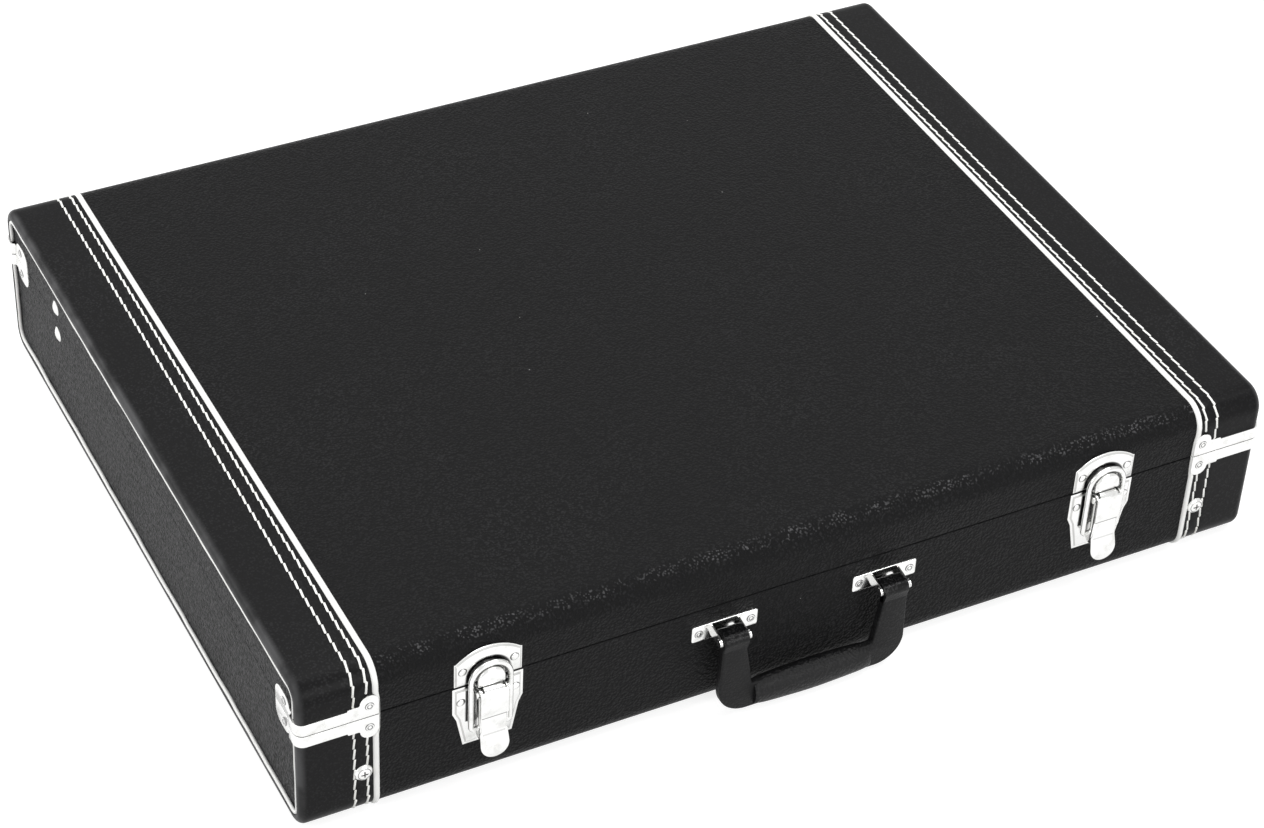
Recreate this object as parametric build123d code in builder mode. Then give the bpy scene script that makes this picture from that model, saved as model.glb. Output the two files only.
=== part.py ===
from build123d import *
import math
import os

# A flat travelling case that opens into a stand for several guitars.
# The origin is the middle of the bottom board's underside: +X runs along the front, +Y to the back, +Z up.

# The box
LENGTH = 680.0
DEPTH = 529.0
HEIGHT = 118.0
LID_HEIGHT = 36.0
PARTING_GAP = 0.6
LONG_EDGE_R = 15.0
END_EDGE_R = 5.0
PLY = 8.0
LINING_T = 2.5

# What covers the box
BAND_T = 2.4
COVER_T = 2.4
BAND_WIDTH = 49.5
PIPING_W = 4.0
PIPING_PROUD = 1.6
PIPING_ROUND = 1.9
END_PANEL_T = 1.2
RECESS = 2.5
RIM_WIDTH = 6.5
RIM_PIPING_D = 3.0
TRIM_GAP = 0.05

# Corner strips
STRIP_T = 1.2
STRIP_H = 8.6
SHOULDER_H = 10.0
TAB_H = 16.5
SHOULDER_START = 31.0
TAB_START = 39.0
FRONT_ARM = 51.5
END_STEP = 10.5
END_ARM = 34.8
TAB_ROUND = 5.0
STRIP_FIT = 0.3

# Fasteners
RIVET_HEAD_D = 6.0
RIVET_HEAD_H = 1.4
RIVET_SHANK_D = 3.5
RIVET_BITE = 7.0
SCREW_INSET = 41.2
SCREW_Z = 36.0
SCREW_HEAD_D = 8.0
SCREW_DOME = 0.8
SCREW_SHANK_D = 3.6
SCREW_BITE = 9.0
SLOT_LENGTH = 4.6
SLOT_WIDTH = 1.0
SLOT_DEPTH = 0.9
WASHER_D = 12.0
WASHER_H = 1.6
WASHER_LIP = 0.5

# Latches
LATCH_INSET = 122.0
PLATE_T = 1.5
LATCH_SPLIT = 0.8
KEEPER_HALF_W = 22.3
KEEPER_SIDE_H = 19.0
KEEPER_ARCH = 8.0
DOME_R = 10.0
DOME_TOP = 14.7
DOME_H = 7.5
DOME_ROUND = 2.0
KEEPER_RIVET_X = 17.0
KEEPER_RIVET_Z = 12.5
LATCH_PLATE_W = 23.3
LATCH_PLATE_WAIST_W = 20.6
LATCH_PLATE_FOOT_W = 16.4
LATCH_SHOULDER_DROP = 21.0
LATCH_WAIST_DROP = 27.0
LATCH_FOOT_DROP = 48.5
LATCH_CORNER_R = 2.0
LATCH_RIVET_X = 18.0
LATCH_RIVET_DROP = 12.0
LEVER_PIVOT_DROP = 4.0
LEVER_PIVOT_OUT = 7.0
LEVER_HALF_W = 10.0
LEVER_T = 1.5
LEVER_OUT = 11.5
LEVER_RISE = 2.5
LEVER_TOP_ROUND = 1.0
FLANGE_T = 1.7
FLANGE_BACK = 2.5
FLANGE_FOOT_DROP = 40.0
LEVER_CREASE_DROP = 21.0
LEVER_NECK_DROP = 36.0
LEVER_NECK_OUT = 10.4
TONGUE_R = 9.5
TONGUE_DROP = 44.0
TONGUE_TIP_OUT = 13.5
PIN_D = 3.0
PIN_HEAD_D = 4.8
PIN_HEAD_T = 0.7
LATCH_EAR_T = 1.5
LATCH_EAR_GAP = 0.3
LATCH_EAR_R = 2.7
LATCH_EAR_SHOULDER = 1.2
BAIL_D = 3.6
BAIL_HALF_W = 13.0
BAIL_PIVOT_DROP = 34.0
BAIL_OUT = 5.0
BAIL_BEND_R = 2.8
BAIL_REST = 0.3
RUNNING = 0.05

# Carrying handle
HANDLE_X = 57.0
HANDLE_Z = 64.0
HANDLE_OUT = 14.0
HANDLE_PLATE_W = 46.0
HANDLE_PLATE_H = 12.5
HANDLE_RIVET_X = 18.2
HANDLE_CORNER_R = 1.5
HANDLE_PIN_D = 4.0
HANDLE_EAR_R = 4.5
HANDLE_EAR_T = 1.5
HANDLE_EAR_GAP = 0.3
EYE_R = 5.0
STRAP_T = 6.0
STRAP_TOP_W = 17.0
STRAP_LOW_W = 23.0
STRAP_SPREAD = 1.0
STRAP_NECK = 9.0
STRAP_FOOT_Z = 3.3
STRAP_BAR_H = 19.4
STRAP_CORNER_R = 20.0
STRAP_INNER_R = 2.5
GRIP_HALF_L = 41.5
GRIP_HALF_H = 11.2
GRIP_HALF_T = 8.0
GRIP_END_ROUND = 1.5
GRIP_FIT = 0.1

# Hinges
HINGE_INSET = 125.0
HINGE_W = 60.0
HINGE_LEAF_H = 26.0
HINGE_KNUCKLES = 5
KNUCKLE_R = 3.5
KNUCKLE_GAP = 0.3
HINGE_STANDOFF = 0.1
HINGE_PIN_D = 3.0
HINGE_CORNER_R = 3.0
HINGE_RIVET_X = 20.0
HINGE_RIVET_Z = 16.0

# Lid stays
STAY_INSET = 95.3
STAY_RISE = 11.0
STAY_LINK = 88.0
STAY_W = 12.0
STAY_T = 2.0
STAY_RIVET_D = 6.0
STAY_HEAD_D = 10.5
STAY_HEAD_H = 1.8
STAY_COLLAR_D = 10.0
STAY_WALL_GAP = 0.4
STAY_SIDE_GAP = 0.4
STAY_END_GAP = 0.1
STAY_INNER_HEAD_T = 1.5
STAY_MIDDLE_D = 5.0

# Inside
PAD_T = 10.0
PAD_FIT = 0.3
BAYS = 6
BAY_END_GAP = 10.8
DIVIDER_T = 18.0
DIVIDER_H = 40.0
DIVIDER_FRONT_GAP = 81.6
DIVIDER_BACK_GAP = 51.6
DIVIDER_ROUND = 8.0
REST_END_GAP = 20.8
REST_FRONT_GAP = 5.6
REST_T = 12.0
REST_DROP = 32.0
NOTCH_R = 29.0
NOTCH_PAD_T = 4.0
NOTCH_PAD_PROUD = 2.0
NOTCH_STRAIGHT = 12.0
CLEAT_T = 20.0
CLEAT_H = 14.0

HALF_L = LENGTH / 2
HALF_D = DEPTH / 2
PARTING = HEIGHT - LID_HEIGHT
WOOD_X = HALF_L - RECESS - END_PANEL_T
WOOD_Y = HALF_D - BAND_T
WOOD_LOW = BAND_T
WOOD_HIGH = HEIGHT - BAND_T
CAVITY_X = WOOD_X - PLY
CAVITY_Y = WOOD_Y - PLY
FLOOR_TOP = WOOD_LOW + PLY
LID_CEILING = WOOD_HIGH - PLY
BASE_EDGE = PARTING - PARTING_GAP / 2
LID_EDGE = PARTING + PARTING_GAP / 2
FIELD_INSET = BAND_T - COVER_T
FIELD_Y = HALF_D - FIELD_INSET
BAND_X = HALF_L - BAND_WIDTH + PIPING_W / 2
FIELD_X = BAND_X - PIPING_W
PANEL_X = HALF_L - RECESS
LINED_X = CAVITY_X - LINING_T
LINED_Y = CAVITY_Y - LINING_T

SCREW_X = HALF_L - SCREW_INSET
LATCH_X = HALF_L - LATCH_INSET
LATCH_SHOULDER_Z = PARTING - LATCH_SHOULDER_DROP
LATCH_WAIST_Z = PARTING - LATCH_WAIST_DROP
LATCH_FOOT_Z = PARTING - LATCH_FOOT_DROP
LATCH_RIVET_Z = PARTING - LATCH_RIVET_DROP
LEVER_PIVOT_Z = PARTING - LEVER_PIVOT_DROP
LEVER_TOP_Z = LEVER_PIVOT_Z + LEVER_RISE
LEVER_CREASE_Z = PARTING - LEVER_CREASE_DROP
LEVER_NECK_Z = PARTING - LEVER_NECK_DROP
FLANGE_FOOT_Z = PARTING - FLANGE_FOOT_DROP
TONGUE_Z = PARTING - TONGUE_DROP
BAIL_PIVOT_Z = PARTING - BAIL_PIVOT_DROP
HINGE_XS = (HINGE_INSET - HALF_L, 0.0, HALF_L - HINGE_INSET)
STAY_Y = HALF_D - STAY_INSET
BAY_PITCH = 2 * (LINED_X - BAY_END_GAP) / BAYS
DIVIDER_FRONT = DIVIDER_FRONT_GAP - LINED_Y
DIVIDER_BACK = LINED_Y - DIVIDER_BACK_GAP
REST_HALF_L = LINED_X - REST_END_GAP
REST_FRONT = REST_FRONT_GAP - LINED_Y
REST_FOOT_Z = PARTING - REST_DROP

SIDES = (-1, 1)

os.makedirs("parts", exist_ok=True)


def save(part, name):
    """Labels a finished piece and writes it under its name."""
    part.label = name
    export_step(part, f"parts/{name}.step")


def case_section(inset):
    """Draws the case's rounded cross-section, that far inside its outer surface."""
    with Locations((0, HEIGHT / 2)):
        RectangleRounded(DEPTH - 2 * inset, HEIGHT - 2 * inset, LONG_EDGE_R - inset)


def keep_half(lower):
    """Cuts what is being built at the parting and keeps the base's or the lid's side."""
    if lower:
        split(bisect_by=Plane.XY.offset(BASE_EDGE), keep=Keep.BOTTOM)
    else:
        split(bisect_by=Plane.XY.offset(LID_EDGE), keep=Keep.TOP)


def clear_bottom_board():
    """Leaves room for the flat bottom board between the rounded long edges."""
    with Locations((0, 0, BAND_T / 2)):
        Box(2 * WOOD_X, DEPTH - 2 * LONG_EDGE_R, BAND_T, mode=Mode.SUBTRACT)


def front_plane(x=0.0, out=0.0):
    """The grained front face, seen from outside, that far out from its surface."""
    return Plane(origin=(x, -FIELD_Y - out, 0), x_dir=(1, 0, 0), z_dir=(0, -1, 0))


def back_plane(x=0.0, out=0.0):
    """The grained back face, seen from outside."""
    return Plane(origin=(x, FIELD_Y + out, 0), x_dir=(-1, 0, 0), z_dir=(0, 1, 0))


def facing(x, y, z, outward):
    """A place for a fastener whose head looks along the given direction."""
    return Plane(origin=(x, y, z), z_dir=outward).location


# The plywood box


def wood_panel(x_span, y_span, z_span):
    """One board of the box: a slab, rounded off where it meets the case's long edges."""
    centre = tuple((low + high) / 2 for low, high in (x_span, y_span, z_span))
    size = [high - low for low, high in (x_span, y_span, z_span)]
    with BuildPart() as board:
        with BuildSketch(Plane.YZ.offset(x_span[0])):
            case_section(BAND_T)
        extrude(amount=size[0])
        with Locations(centre):
            Box(*size, mode=Mode.INTERSECT)
    return board.part


def end_board(side, z_span):
    """The board across one end, with its hole for the lid stay's rivet."""
    x_span = (CAVITY_X, WOOD_X) if side > 0 else (-WOOD_X, -CAVITY_X)
    board = wood_panel(x_span, (-CAVITY_Y, CAVITY_Y), z_span)
    with BuildPart() as drilled:
        add(board)
        stay_hole(side, z_span[0] < PARTING)
    return drilled.part


def stay_hole(side, lower):
    """Drills the rivet hole of a lid stay through what is being built at one end."""
    z = PARTING - STAY_RISE if lower else PARTING + STAY_RISE
    with Locations((side * WOOD_X, STAY_Y, z)):
        Cylinder(STAY_RIVET_D / 2, 6 * PLY, rotation=(0, 90, 0), mode=Mode.SUBTRACT)


whole_x = (-WOOD_X, WOOD_X)
front_y = (-WOOD_Y, -CAVITY_Y)
back_y = (CAVITY_Y, WOOD_Y)
base_z = (WOOD_LOW, BASE_EDGE)
lid_z = (LID_EDGE, WOOD_HIGH)
inner_x = (-CAVITY_X, CAVITY_X)
inner_y = (-CAVITY_Y, CAVITY_Y)
save(wood_panel(whole_x, front_y, base_z), "base_front_wall")
save(wood_panel(whole_x, back_y, base_z), "base_back_wall")
save(wood_panel(inner_x, inner_y, (WOOD_LOW, FLOOR_TOP)), "base_floor")
save(wood_panel(whole_x, front_y, lid_z), "lid_front_wall")
save(wood_panel(whole_x, back_y, lid_z), "lid_back_wall")
save(wood_panel(inner_x, inner_y, (LID_CEILING, WOOD_HIGH)), "lid_top")
for side, word in zip(SIDES, ("left", "right")):
    save(end_board(side, base_z), f"base_{word}_wall")
    save(end_board(side, lid_z), f"lid_{word}_wall")

with BuildPart() as bottom_board:
    with Locations((0, 0, BAND_T / 2)):
        Box(2 * WOOD_X, DEPTH - 2 * LONG_EDGE_R, BAND_T)
save(bottom_board.part, "bottom_board")


# Covers, bands and piping


def field_cover(lower):
    """The grained cover round the middle of the base or the lid."""
    with BuildPart() as cover:
        with BuildSketch(Plane.YZ.offset(-FIELD_X)):
            case_section(FIELD_INSET)
        extrude(amount=2 * FIELD_X)
        with BuildSketch(Plane.YZ.offset(-FIELD_X)):
            case_section(BAND_T)
        extrude(amount=2 * FIELD_X, mode=Mode.SUBTRACT)
        clear_bottom_board()
        keep_half(lower)
    return cover.part


def end_bands(lower):
    """The smooth bands at both ends, folded over the end faces as a rim."""
    with BuildPart() as bands:
        for side in SIDES:
            start = side * BAND_X
            with BuildSketch(Plane.YZ.offset(start)):
                case_section(0)
            extrude(amount=side * (HALF_L - BAND_X))
        rims = bands.faces().filter_by(Axis.X).sort_by(Axis.X)
        fillet(rims[0].edges() + rims[-1].edges(), END_EDGE_R)
        with BuildSketch(Plane.YZ.offset(-WOOD_X)):
            case_section(BAND_T)
        extrude(amount=2 * WOOD_X, mode=Mode.SUBTRACT)
        with BuildSketch(Plane.YZ.offset(-HALF_L)):
            case_section(RIM_WIDTH)
        extrude(amount=LENGTH, mode=Mode.SUBTRACT)
        clear_bottom_board()
        keep_half(lower)
    return bands.part


def end_panels(lower):
    """The grained panels let into both end faces."""
    with BuildPart() as panels:
        for side in SIDES:
            with BuildSketch(Plane.YZ.offset(side * WOOD_X)):
                case_section(RIM_WIDTH + TRIM_GAP)
            extrude(amount=side * END_PANEL_T)
            stay_hole(side, lower)
        keep_half(lower)
    return panels.part


def band_piping(lower):
    """The piping between the grained cover and each end band, cut away under the corner strips."""
    with BuildPart() as piping:
        for side in SIDES:
            start = side * FIELD_X
            with BuildSketch(Plane.YZ.offset(start)):
                case_section(-PIPING_PROUD)
            extrude(amount=side * PIPING_W)
        crests = piping.faces().filter_by(Axis.X).edges()
        fillet(crests, PIPING_ROUND)
        with BuildSketch(Plane.YZ.offset(-HALF_L)):
            case_section(BAND_T)
        extrude(amount=LENGTH, mode=Mode.SUBTRACT)
        clear_bottom_board()
        with Locations((0, 0, -PIPING_PROUD / 2)):
            Box(LENGTH, DEPTH, PIPING_PROUD, mode=Mode.SUBTRACT)
        for face in SIDES:
            with Locations((0, face * (HALF_D + STRIP_T), PARTING)):
                Box(LENGTH, 2 * STRIP_T, 2 * (TAB_H + STRIP_FIT), mode=Mode.SUBTRACT)
        keep_half(lower)
    return piping.part


def rim_piping(lower):
    """The thin piping at the foot of each end rim, stopped each side of the corner strips."""
    inset = RIM_WIDTH + TRIM_GAP + RIM_PIPING_D / 2
    strip_room = 2 * (STRIP_H + STRIP_FIT)
    with BuildPart() as piping:
        for side in SIDES:
            middle = Plane.YZ.offset(side * (PANEL_X + TRIM_GAP + RIM_PIPING_D / 2))
            with BuildSketch(middle, mode=Mode.PRIVATE) as loop:
                case_section(inset)
            route = loop.sketch.face().outer_wire()
            with BuildSketch(Plane(origin=route @ 0, z_dir=route % 0)):
                Circle(RIM_PIPING_D / 2)
            sweep(path=route)
        for side in SIDES:
            for face in SIDES:
                with Locations((side * HALF_L, face * HALF_D, PARTING)):
                    Box(8 * RECESS, 2 * RIM_WIDTH + 4 * RIM_PIPING_D, strip_room, mode=Mode.SUBTRACT)
        keep_half(lower)
    return piping.part


def corner_strips(lower):
    """The four bent metal strips that guard the upright corners at the parting."""
    edge = BASE_EDGE if lower else LID_EDGE
    away = -1 if lower else 1
    with BuildPart() as strips:
        with BuildSketch(Plane.XY.offset(edge)):
            RectangleRounded(LENGTH + 2 * STRIP_T, DEPTH + 2 * STRIP_T, END_EDGE_R + STRIP_T)
            RectangleRounded(LENGTH, DEPTH, END_EDGE_R, mode=Mode.SUBTRACT)
            Rectangle(2 * (HALF_L - FRONT_ARM), DEPTH + 4 * STRIP_T, mode=Mode.SUBTRACT)
            Rectangle(LENGTH + 4 * STRIP_T, 2 * (HALF_D - END_STEP), mode=Mode.SUBTRACT)
        extrude(amount=away * STRIP_H)
        for side in SIDES:
            for face in SIDES:
                for start, stop, height in (
                    (SHOULDER_START, TAB_START, SHOULDER_H),
                    (TAB_START, FRONT_ARM, TAB_H),
                ):
                    x = side * (HALF_L - (start + stop) / 2)
                    with Locations((x, face * (HALF_D + STRIP_T / 2), edge + away * height / 2)):
                        Box(stop - start, STRIP_T, height)
                step_x = side * (PANEL_X + (RECESS + STRIP_T) / 2)
                step_y = face * (HALF_D - END_STEP - STRIP_T / 2)
                with Locations((step_x, step_y, edge + away * STRIP_H / 2)):
                    Box(RECESS + STRIP_T, STRIP_T, STRIP_H)
                lobe_y = face * (HALF_D - (END_STEP + END_ARM) / 2)
                with Locations((side * (PANEL_X + STRIP_T / 2), lobe_y, edge + away * TAB_H / 2)):
                    Box(STRIP_T, END_ARM - END_STEP, TAB_H)
        outermost = 0 if lower else -1
        tabs = strips.edges().filter_by(Axis.Y).group_by(Axis.Z)[outermost]
        lobes = strips.edges().filter_by(Axis.X).group_by(Axis.Z)[outermost]
        corners = [line for line in tabs + lobes if line.length < 2 * STRIP_T]
        fillet(corners, TAB_ROUND)
        with Locations(*strip_rivet_places(lower)):
            Hole(RIVET_SHANK_D / 2, depth=2 * STRIP_T)
    return strips.part


def strip_rivet_places(lower):
    """Where the corner strips are riveted, on the tabs and on the lobes of the end faces."""
    z = (BASE_EDGE - TAB_H / 2) if lower else (LID_EDGE + TAB_H / 2)
    tab_x = HALF_L - (TAB_START + FRONT_ARM) / 2
    lobe_y = HALF_D - (END_STEP + END_ARM) / 2 - STRIP_T
    places = []
    for side in SIDES:
        for face in SIDES:
            places.append(facing(side * tab_x, face * (HALF_D + STRIP_T), z, (0, face, 0)))
            places.append(facing(side * (PANEL_X + STRIP_T), face * lobe_y, z, (side, 0, 0)))
    return places


for lower, word in ((True, "base"), (False, "lid")):
    save(field_cover(lower), f"{word}_cover")
    save(end_bands(lower), f"{word}_bands")
    save(end_panels(lower), f"{word}_end_panels")
    save(band_piping(lower), f"{word}_band_piping")
    save(rim_piping(lower), f"{word}_rim_piping")
    save(corner_strips(lower), f"{word}_corner_strips")


# Fasteners


def turned_rivet(head_d, head_h, shank_d, shank_length):
    """A domed rivet: its head stands on local zero and its shank runs down from it."""
    with BuildPart() as rivet:
        with BuildSketch(Plane.XZ):
            with BuildLine():
                TangentArc((0, head_h), (head_d / 2, 0), tangent=(1, 0))
                Polyline(
                    (head_d / 2, 0),
                    (shank_d / 2, 0),
                    (shank_d / 2, -shank_length),
                    (0, -shank_length),
                    (0, head_h),
                )
            make_face()
        revolve(axis=Axis.Z)
    return rivet.part


def latch_rivet_places():
    """Two rivets hold each latch's base plate."""
    return [
        facing(middle + side * LATCH_RIVET_X, -FIELD_Y - PLATE_T, LATCH_RIVET_Z, (0, -1, 0))
        for middle in (-LATCH_X, LATCH_X)
        for side in SIDES
    ]


def keeper_rivet_places():
    """Two rivets hold each keeper on the lid."""
    return [
        facing(middle + side * KEEPER_RIVET_X, -FIELD_Y - PLATE_T, PARTING + KEEPER_RIVET_Z, (0, -1, 0))
        for middle in (-LATCH_X, LATCH_X)
        for side in SIDES
    ]


def handle_rivet_places():
    """Two rivets hold each handle plate."""
    return [
        facing(middle + side * HANDLE_RIVET_X, -FIELD_Y - PLATE_T, HANDLE_Z, (0, -1, 0))
        for middle in (-HANDLE_X, HANDLE_X)
        for side in SIDES
    ]


def hinge_rivet_places(lower):
    """Two rivets hold each hinge leaf."""
    z = PARTING - HINGE_RIVET_Z if lower else PARTING + HINGE_RIVET_Z
    return [
        facing(middle + side * HINGE_RIVET_X, FIELD_Y + PLATE_T, z, (0, 1, 0))
        for middle in HINGE_XS
        for side in SIDES
    ]


small_rivet = turned_rivet(RIVET_HEAD_D, RIVET_HEAD_H, RIVET_SHANK_D, RIVET_BITE)
base_rivet_places = strip_rivet_places(True) + latch_rivet_places()
base_rivet_places += handle_rivet_places() + hinge_rivet_places(True)
lid_rivet_places = strip_rivet_places(False) + keeper_rivet_places() + hinge_rivet_places(False)
with BuildPart() as base_rivets:
    with Locations(*base_rivet_places):
        add(small_rivet)
save(base_rivets.part, "base_rivets")
with BuildPart() as lid_rivets:
    with Locations(*lid_rivet_places):
        add(small_rivet)
save(lid_rivets.part, "lid_rivets")


def cup_washer():
    """A dished washer that an oval-headed screw sits in."""
    with BuildPart() as washer:
        with BuildSketch(Plane.XZ):
            with BuildLine():
                Polyline(
                    (SCREW_SHANK_D / 2 + TRIM_GAP, 0),
                    (WASHER_D / 2, 0),
                    (WASHER_D / 2 - WASHER_LIP, WASHER_H / 2),
                    (SCREW_HEAD_D / 2 + WASHER_LIP, WASHER_H),
                    (SCREW_HEAD_D / 2 + TRIM_GAP, WASHER_H),
                    close=True,
                )
            make_face()
        revolve(axis=Axis.Z)
    return washer.part


def oval_screw():
    """An oval-headed wood screw with a cross recess."""
    with BuildPart() as screw:
        with BuildSketch(Plane.XZ):
            with BuildLine():
                TangentArc((0, WASHER_H + SCREW_DOME), (SCREW_HEAD_D / 2, WASHER_H), tangent=(1, 0))
                Polyline(
                    (SCREW_HEAD_D / 2, WASHER_H),
                    (SCREW_SHANK_D / 2, 0),
                    (SCREW_SHANK_D / 2, -SCREW_BITE),
                    (0, -SCREW_BITE),
                    (0, WASHER_H + SCREW_DOME),
                )
            make_face()
        revolve(axis=Axis.Z)
        with Locations((0, 0, WASHER_H + SCREW_DOME - SLOT_DEPTH / 2)):
            Box(SLOT_LENGTH, SLOT_WIDTH, SLOT_DEPTH, mode=Mode.SUBTRACT)
            Box(SLOT_WIDTH, SLOT_LENGTH, SLOT_DEPTH, mode=Mode.SUBTRACT)
    return screw.part


screw_places = [facing(side * SCREW_X, -HALF_D, SCREW_Z, (0, -1, 0)) for side in SIDES]
one_washer = cup_washer()
one_screw = oval_screw()
with BuildPart() as cup_washers:
    with Locations(*screw_places):
        add(one_washer)
save(cup_washers.part, "cup_washers")
with BuildPart() as band_screws:
    with Locations(*screw_places):
        add(one_screw)
save(band_screws.part, "band_screws")


# Latches


def keeper(x):
    """The keeper on the lid: a plate with an arched top and a raised dome that the bail hooks over."""
    low = PARTING + LATCH_SPLIT
    side_top = PARTING + KEEPER_SIDE_H
    arch_top = side_top + KEEPER_ARCH
    dome_centre = PARTING + DOME_TOP - DOME_R
    with BuildPart() as piece:
        with BuildSketch(front_plane(x)):
            with BuildLine():
                Polyline(
                    (-KEEPER_HALF_W, side_top),
                    (-KEEPER_HALF_W, low),
                    (KEEPER_HALF_W, low),
                    (KEEPER_HALF_W, side_top),
                )
                ThreePointArc((KEEPER_HALF_W, side_top), (0, arch_top), (-KEEPER_HALF_W, side_top))
            make_face()
        extrude(amount=PLATE_T)
        with BuildSketch(front_plane(x, PLATE_T)):
            with Locations((0, dome_centre)):
                Circle(DOME_R)
            with Locations((0, (low + dome_centre) / 2)):
                Rectangle(2 * DOME_R, dome_centre - low)
            with Locations((0, low - DOME_R)):
                Rectangle(3 * DOME_R, 2 * DOME_R, mode=Mode.SUBTRACT)
        extrude(amount=DOME_H - PLATE_T)
        crest = piece.faces().filter_by(Axis.Y).sort_by(Axis.Y)[0]
        fillet(crest.edges(), DOME_ROUND)
        with Locations(*keeper_rivet_places()):
            Hole(RIVET_SHANK_D / 2, depth=2 * PLATE_T)
    return piece.part


def latch_plate(x):
    """The latch's base plate, with two ears for the lever's pin."""
    high = PARTING - LATCH_SPLIT
    half = [
        (LATCH_PLATE_W, high),
        (LATCH_PLATE_W, LATCH_SHOULDER_Z),
        (LATCH_PLATE_WAIST_W, LATCH_WAIST_Z),
        (LATCH_PLATE_FOOT_W, LATCH_FOOT_Z),
    ]
    ear_x = LEVER_HALF_W - FLANGE_T - LATCH_EAR_GAP - LATCH_EAR_T / 2
    neck_z = LEVER_PIVOT_Z + (LATCH_EAR_SHOULDER - LATCH_EAR_R) / 2
    with BuildPart() as piece:
        with BuildSketch(front_plane(x)):
            with BuildLine():
                Polyline(*half, *[(-a, b) for a, b in reversed(half)], close=True)
            outline = make_face()
            fillet(outline.vertices(), LATCH_CORNER_R)
        extrude(amount=PLATE_T)
        for side in SIDES:
            with BuildSketch(Plane.YZ.offset(x + side * ear_x - LATCH_EAR_T / 2)):
                with Locations((-FIELD_Y - LEVER_PIVOT_OUT, LEVER_PIVOT_Z)):
                    Circle(LATCH_EAR_R)
                with Locations((-FIELD_Y - LEVER_PIVOT_OUT / 2, neck_z)):
                    Rectangle(LEVER_PIVOT_OUT, LATCH_EAR_R + LATCH_EAR_SHOULDER)
            extrude(amount=LATCH_EAR_T)
        with Locations((x, -FIELD_Y - LEVER_PIVOT_OUT, LEVER_PIVOT_Z)):
            Cylinder(PIN_D / 2, 4 * LEVER_HALF_W, rotation=(0, 90, 0), mode=Mode.SUBTRACT)
        with Locations(*latch_rivet_places()):
            Hole(RIVET_SHANK_D / 2, depth=2 * PLATE_T)
    return piece.part


def latch_lever(x):
    """The pressed lever: a channel with two side flanges, ending below in a round finger tongue."""
    flange_out = LEVER_NECK_OUT - LEVER_T
    flange_z = (LEVER_TOP_Z + FLANGE_FOOT_Z) / 2
    with BuildPart() as piece:
        # The side view of the pressing, swept across its width
        with BuildSketch(Plane.YZ.offset(x - LEVER_HALF_W)):
            with BuildLine():
                Polyline(
                    (-FIELD_Y - LEVER_OUT + LEVER_T, LEVER_TOP_Z),
                    (-FIELD_Y - LEVER_OUT, LEVER_TOP_Z),
                    (-FIELD_Y - LEVER_OUT, LEVER_CREASE_Z),
                    (-FIELD_Y - LEVER_NECK_OUT, LEVER_NECK_Z),
                    (-FIELD_Y - TONGUE_TIP_OUT, TONGUE_Z - TONGUE_R),
                    (-FIELD_Y - TONGUE_TIP_OUT + LEVER_T, TONGUE_Z - TONGUE_R),
                    (-FIELD_Y - flange_out, LEVER_NECK_Z),
                    (-FIELD_Y - LEVER_OUT + LEVER_T, LEVER_CREASE_Z),
                    close=True,
                )
            make_face()
        extrude(amount=2 * LEVER_HALF_W)
        for start in (x - LEVER_HALF_W, x + LEVER_HALF_W - FLANGE_T):
            with BuildSketch(Plane.YZ.offset(start)):
                with Locations((-FIELD_Y - (FLANGE_BACK + flange_out) / 2, flange_z)):
                    Rectangle(flange_out - FLANGE_BACK, LEVER_TOP_Z - FLANGE_FOOT_Z)
                with Locations((-FIELD_Y - LEVER_OUT + LEVER_T, (LEVER_TOP_Z + LEVER_CREASE_Z) / 2)):
                    Rectangle(2 * LEVER_T, LEVER_TOP_Z - LEVER_CREASE_Z)
                with Locations((-FIELD_Y - flange_out, (LEVER_CREASE_Z + LEVER_NECK_Z) / 2)):
                    Rectangle(LEVER_T, LEVER_CREASE_Z - LEVER_NECK_Z)
            extrude(amount=FLANGE_T)
        # The front view trims it to the round tongue
        with BuildSketch(front_plane(x)):
            with Locations((0, TONGUE_Z)):
                Circle(TONGUE_R)
            with Locations((0, (LEVER_NECK_Z + TONGUE_Z) / 2)):
                Rectangle(2 * TONGUE_R, LEVER_NECK_Z - TONGUE_Z)
            with Locations((0, (LEVER_TOP_Z + LEVER_NECK_Z) / 2)):
                Rectangle(2 * LEVER_HALF_W, LEVER_TOP_Z - LEVER_NECK_Z)
        extrude(amount=2 * TONGUE_TIP_OUT, mode=Mode.INTERSECT)
        brow = piece.edges().filter_by(Axis.X).group_by(Axis.Z)[-1].sort_by(Axis.Y)[0]
        fillet(brow, LEVER_TOP_ROUND)
        with Locations((x, -FIELD_Y - LEVER_PIVOT_OUT, LEVER_PIVOT_Z)):
            Cylinder(PIN_D / 2 + RUNNING, 4 * LEVER_HALF_W, rotation=(0, 90, 0), mode=Mode.SUBTRACT)
        with Locations((x, -FIELD_Y - BAIL_OUT, BAIL_PIVOT_Z)):
            Cylinder(BAIL_D / 2 + RUNNING, 4 * LEVER_HALF_W, rotation=(0, 90, 0), mode=Mode.SUBTRACT)
    return piece.part


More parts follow.
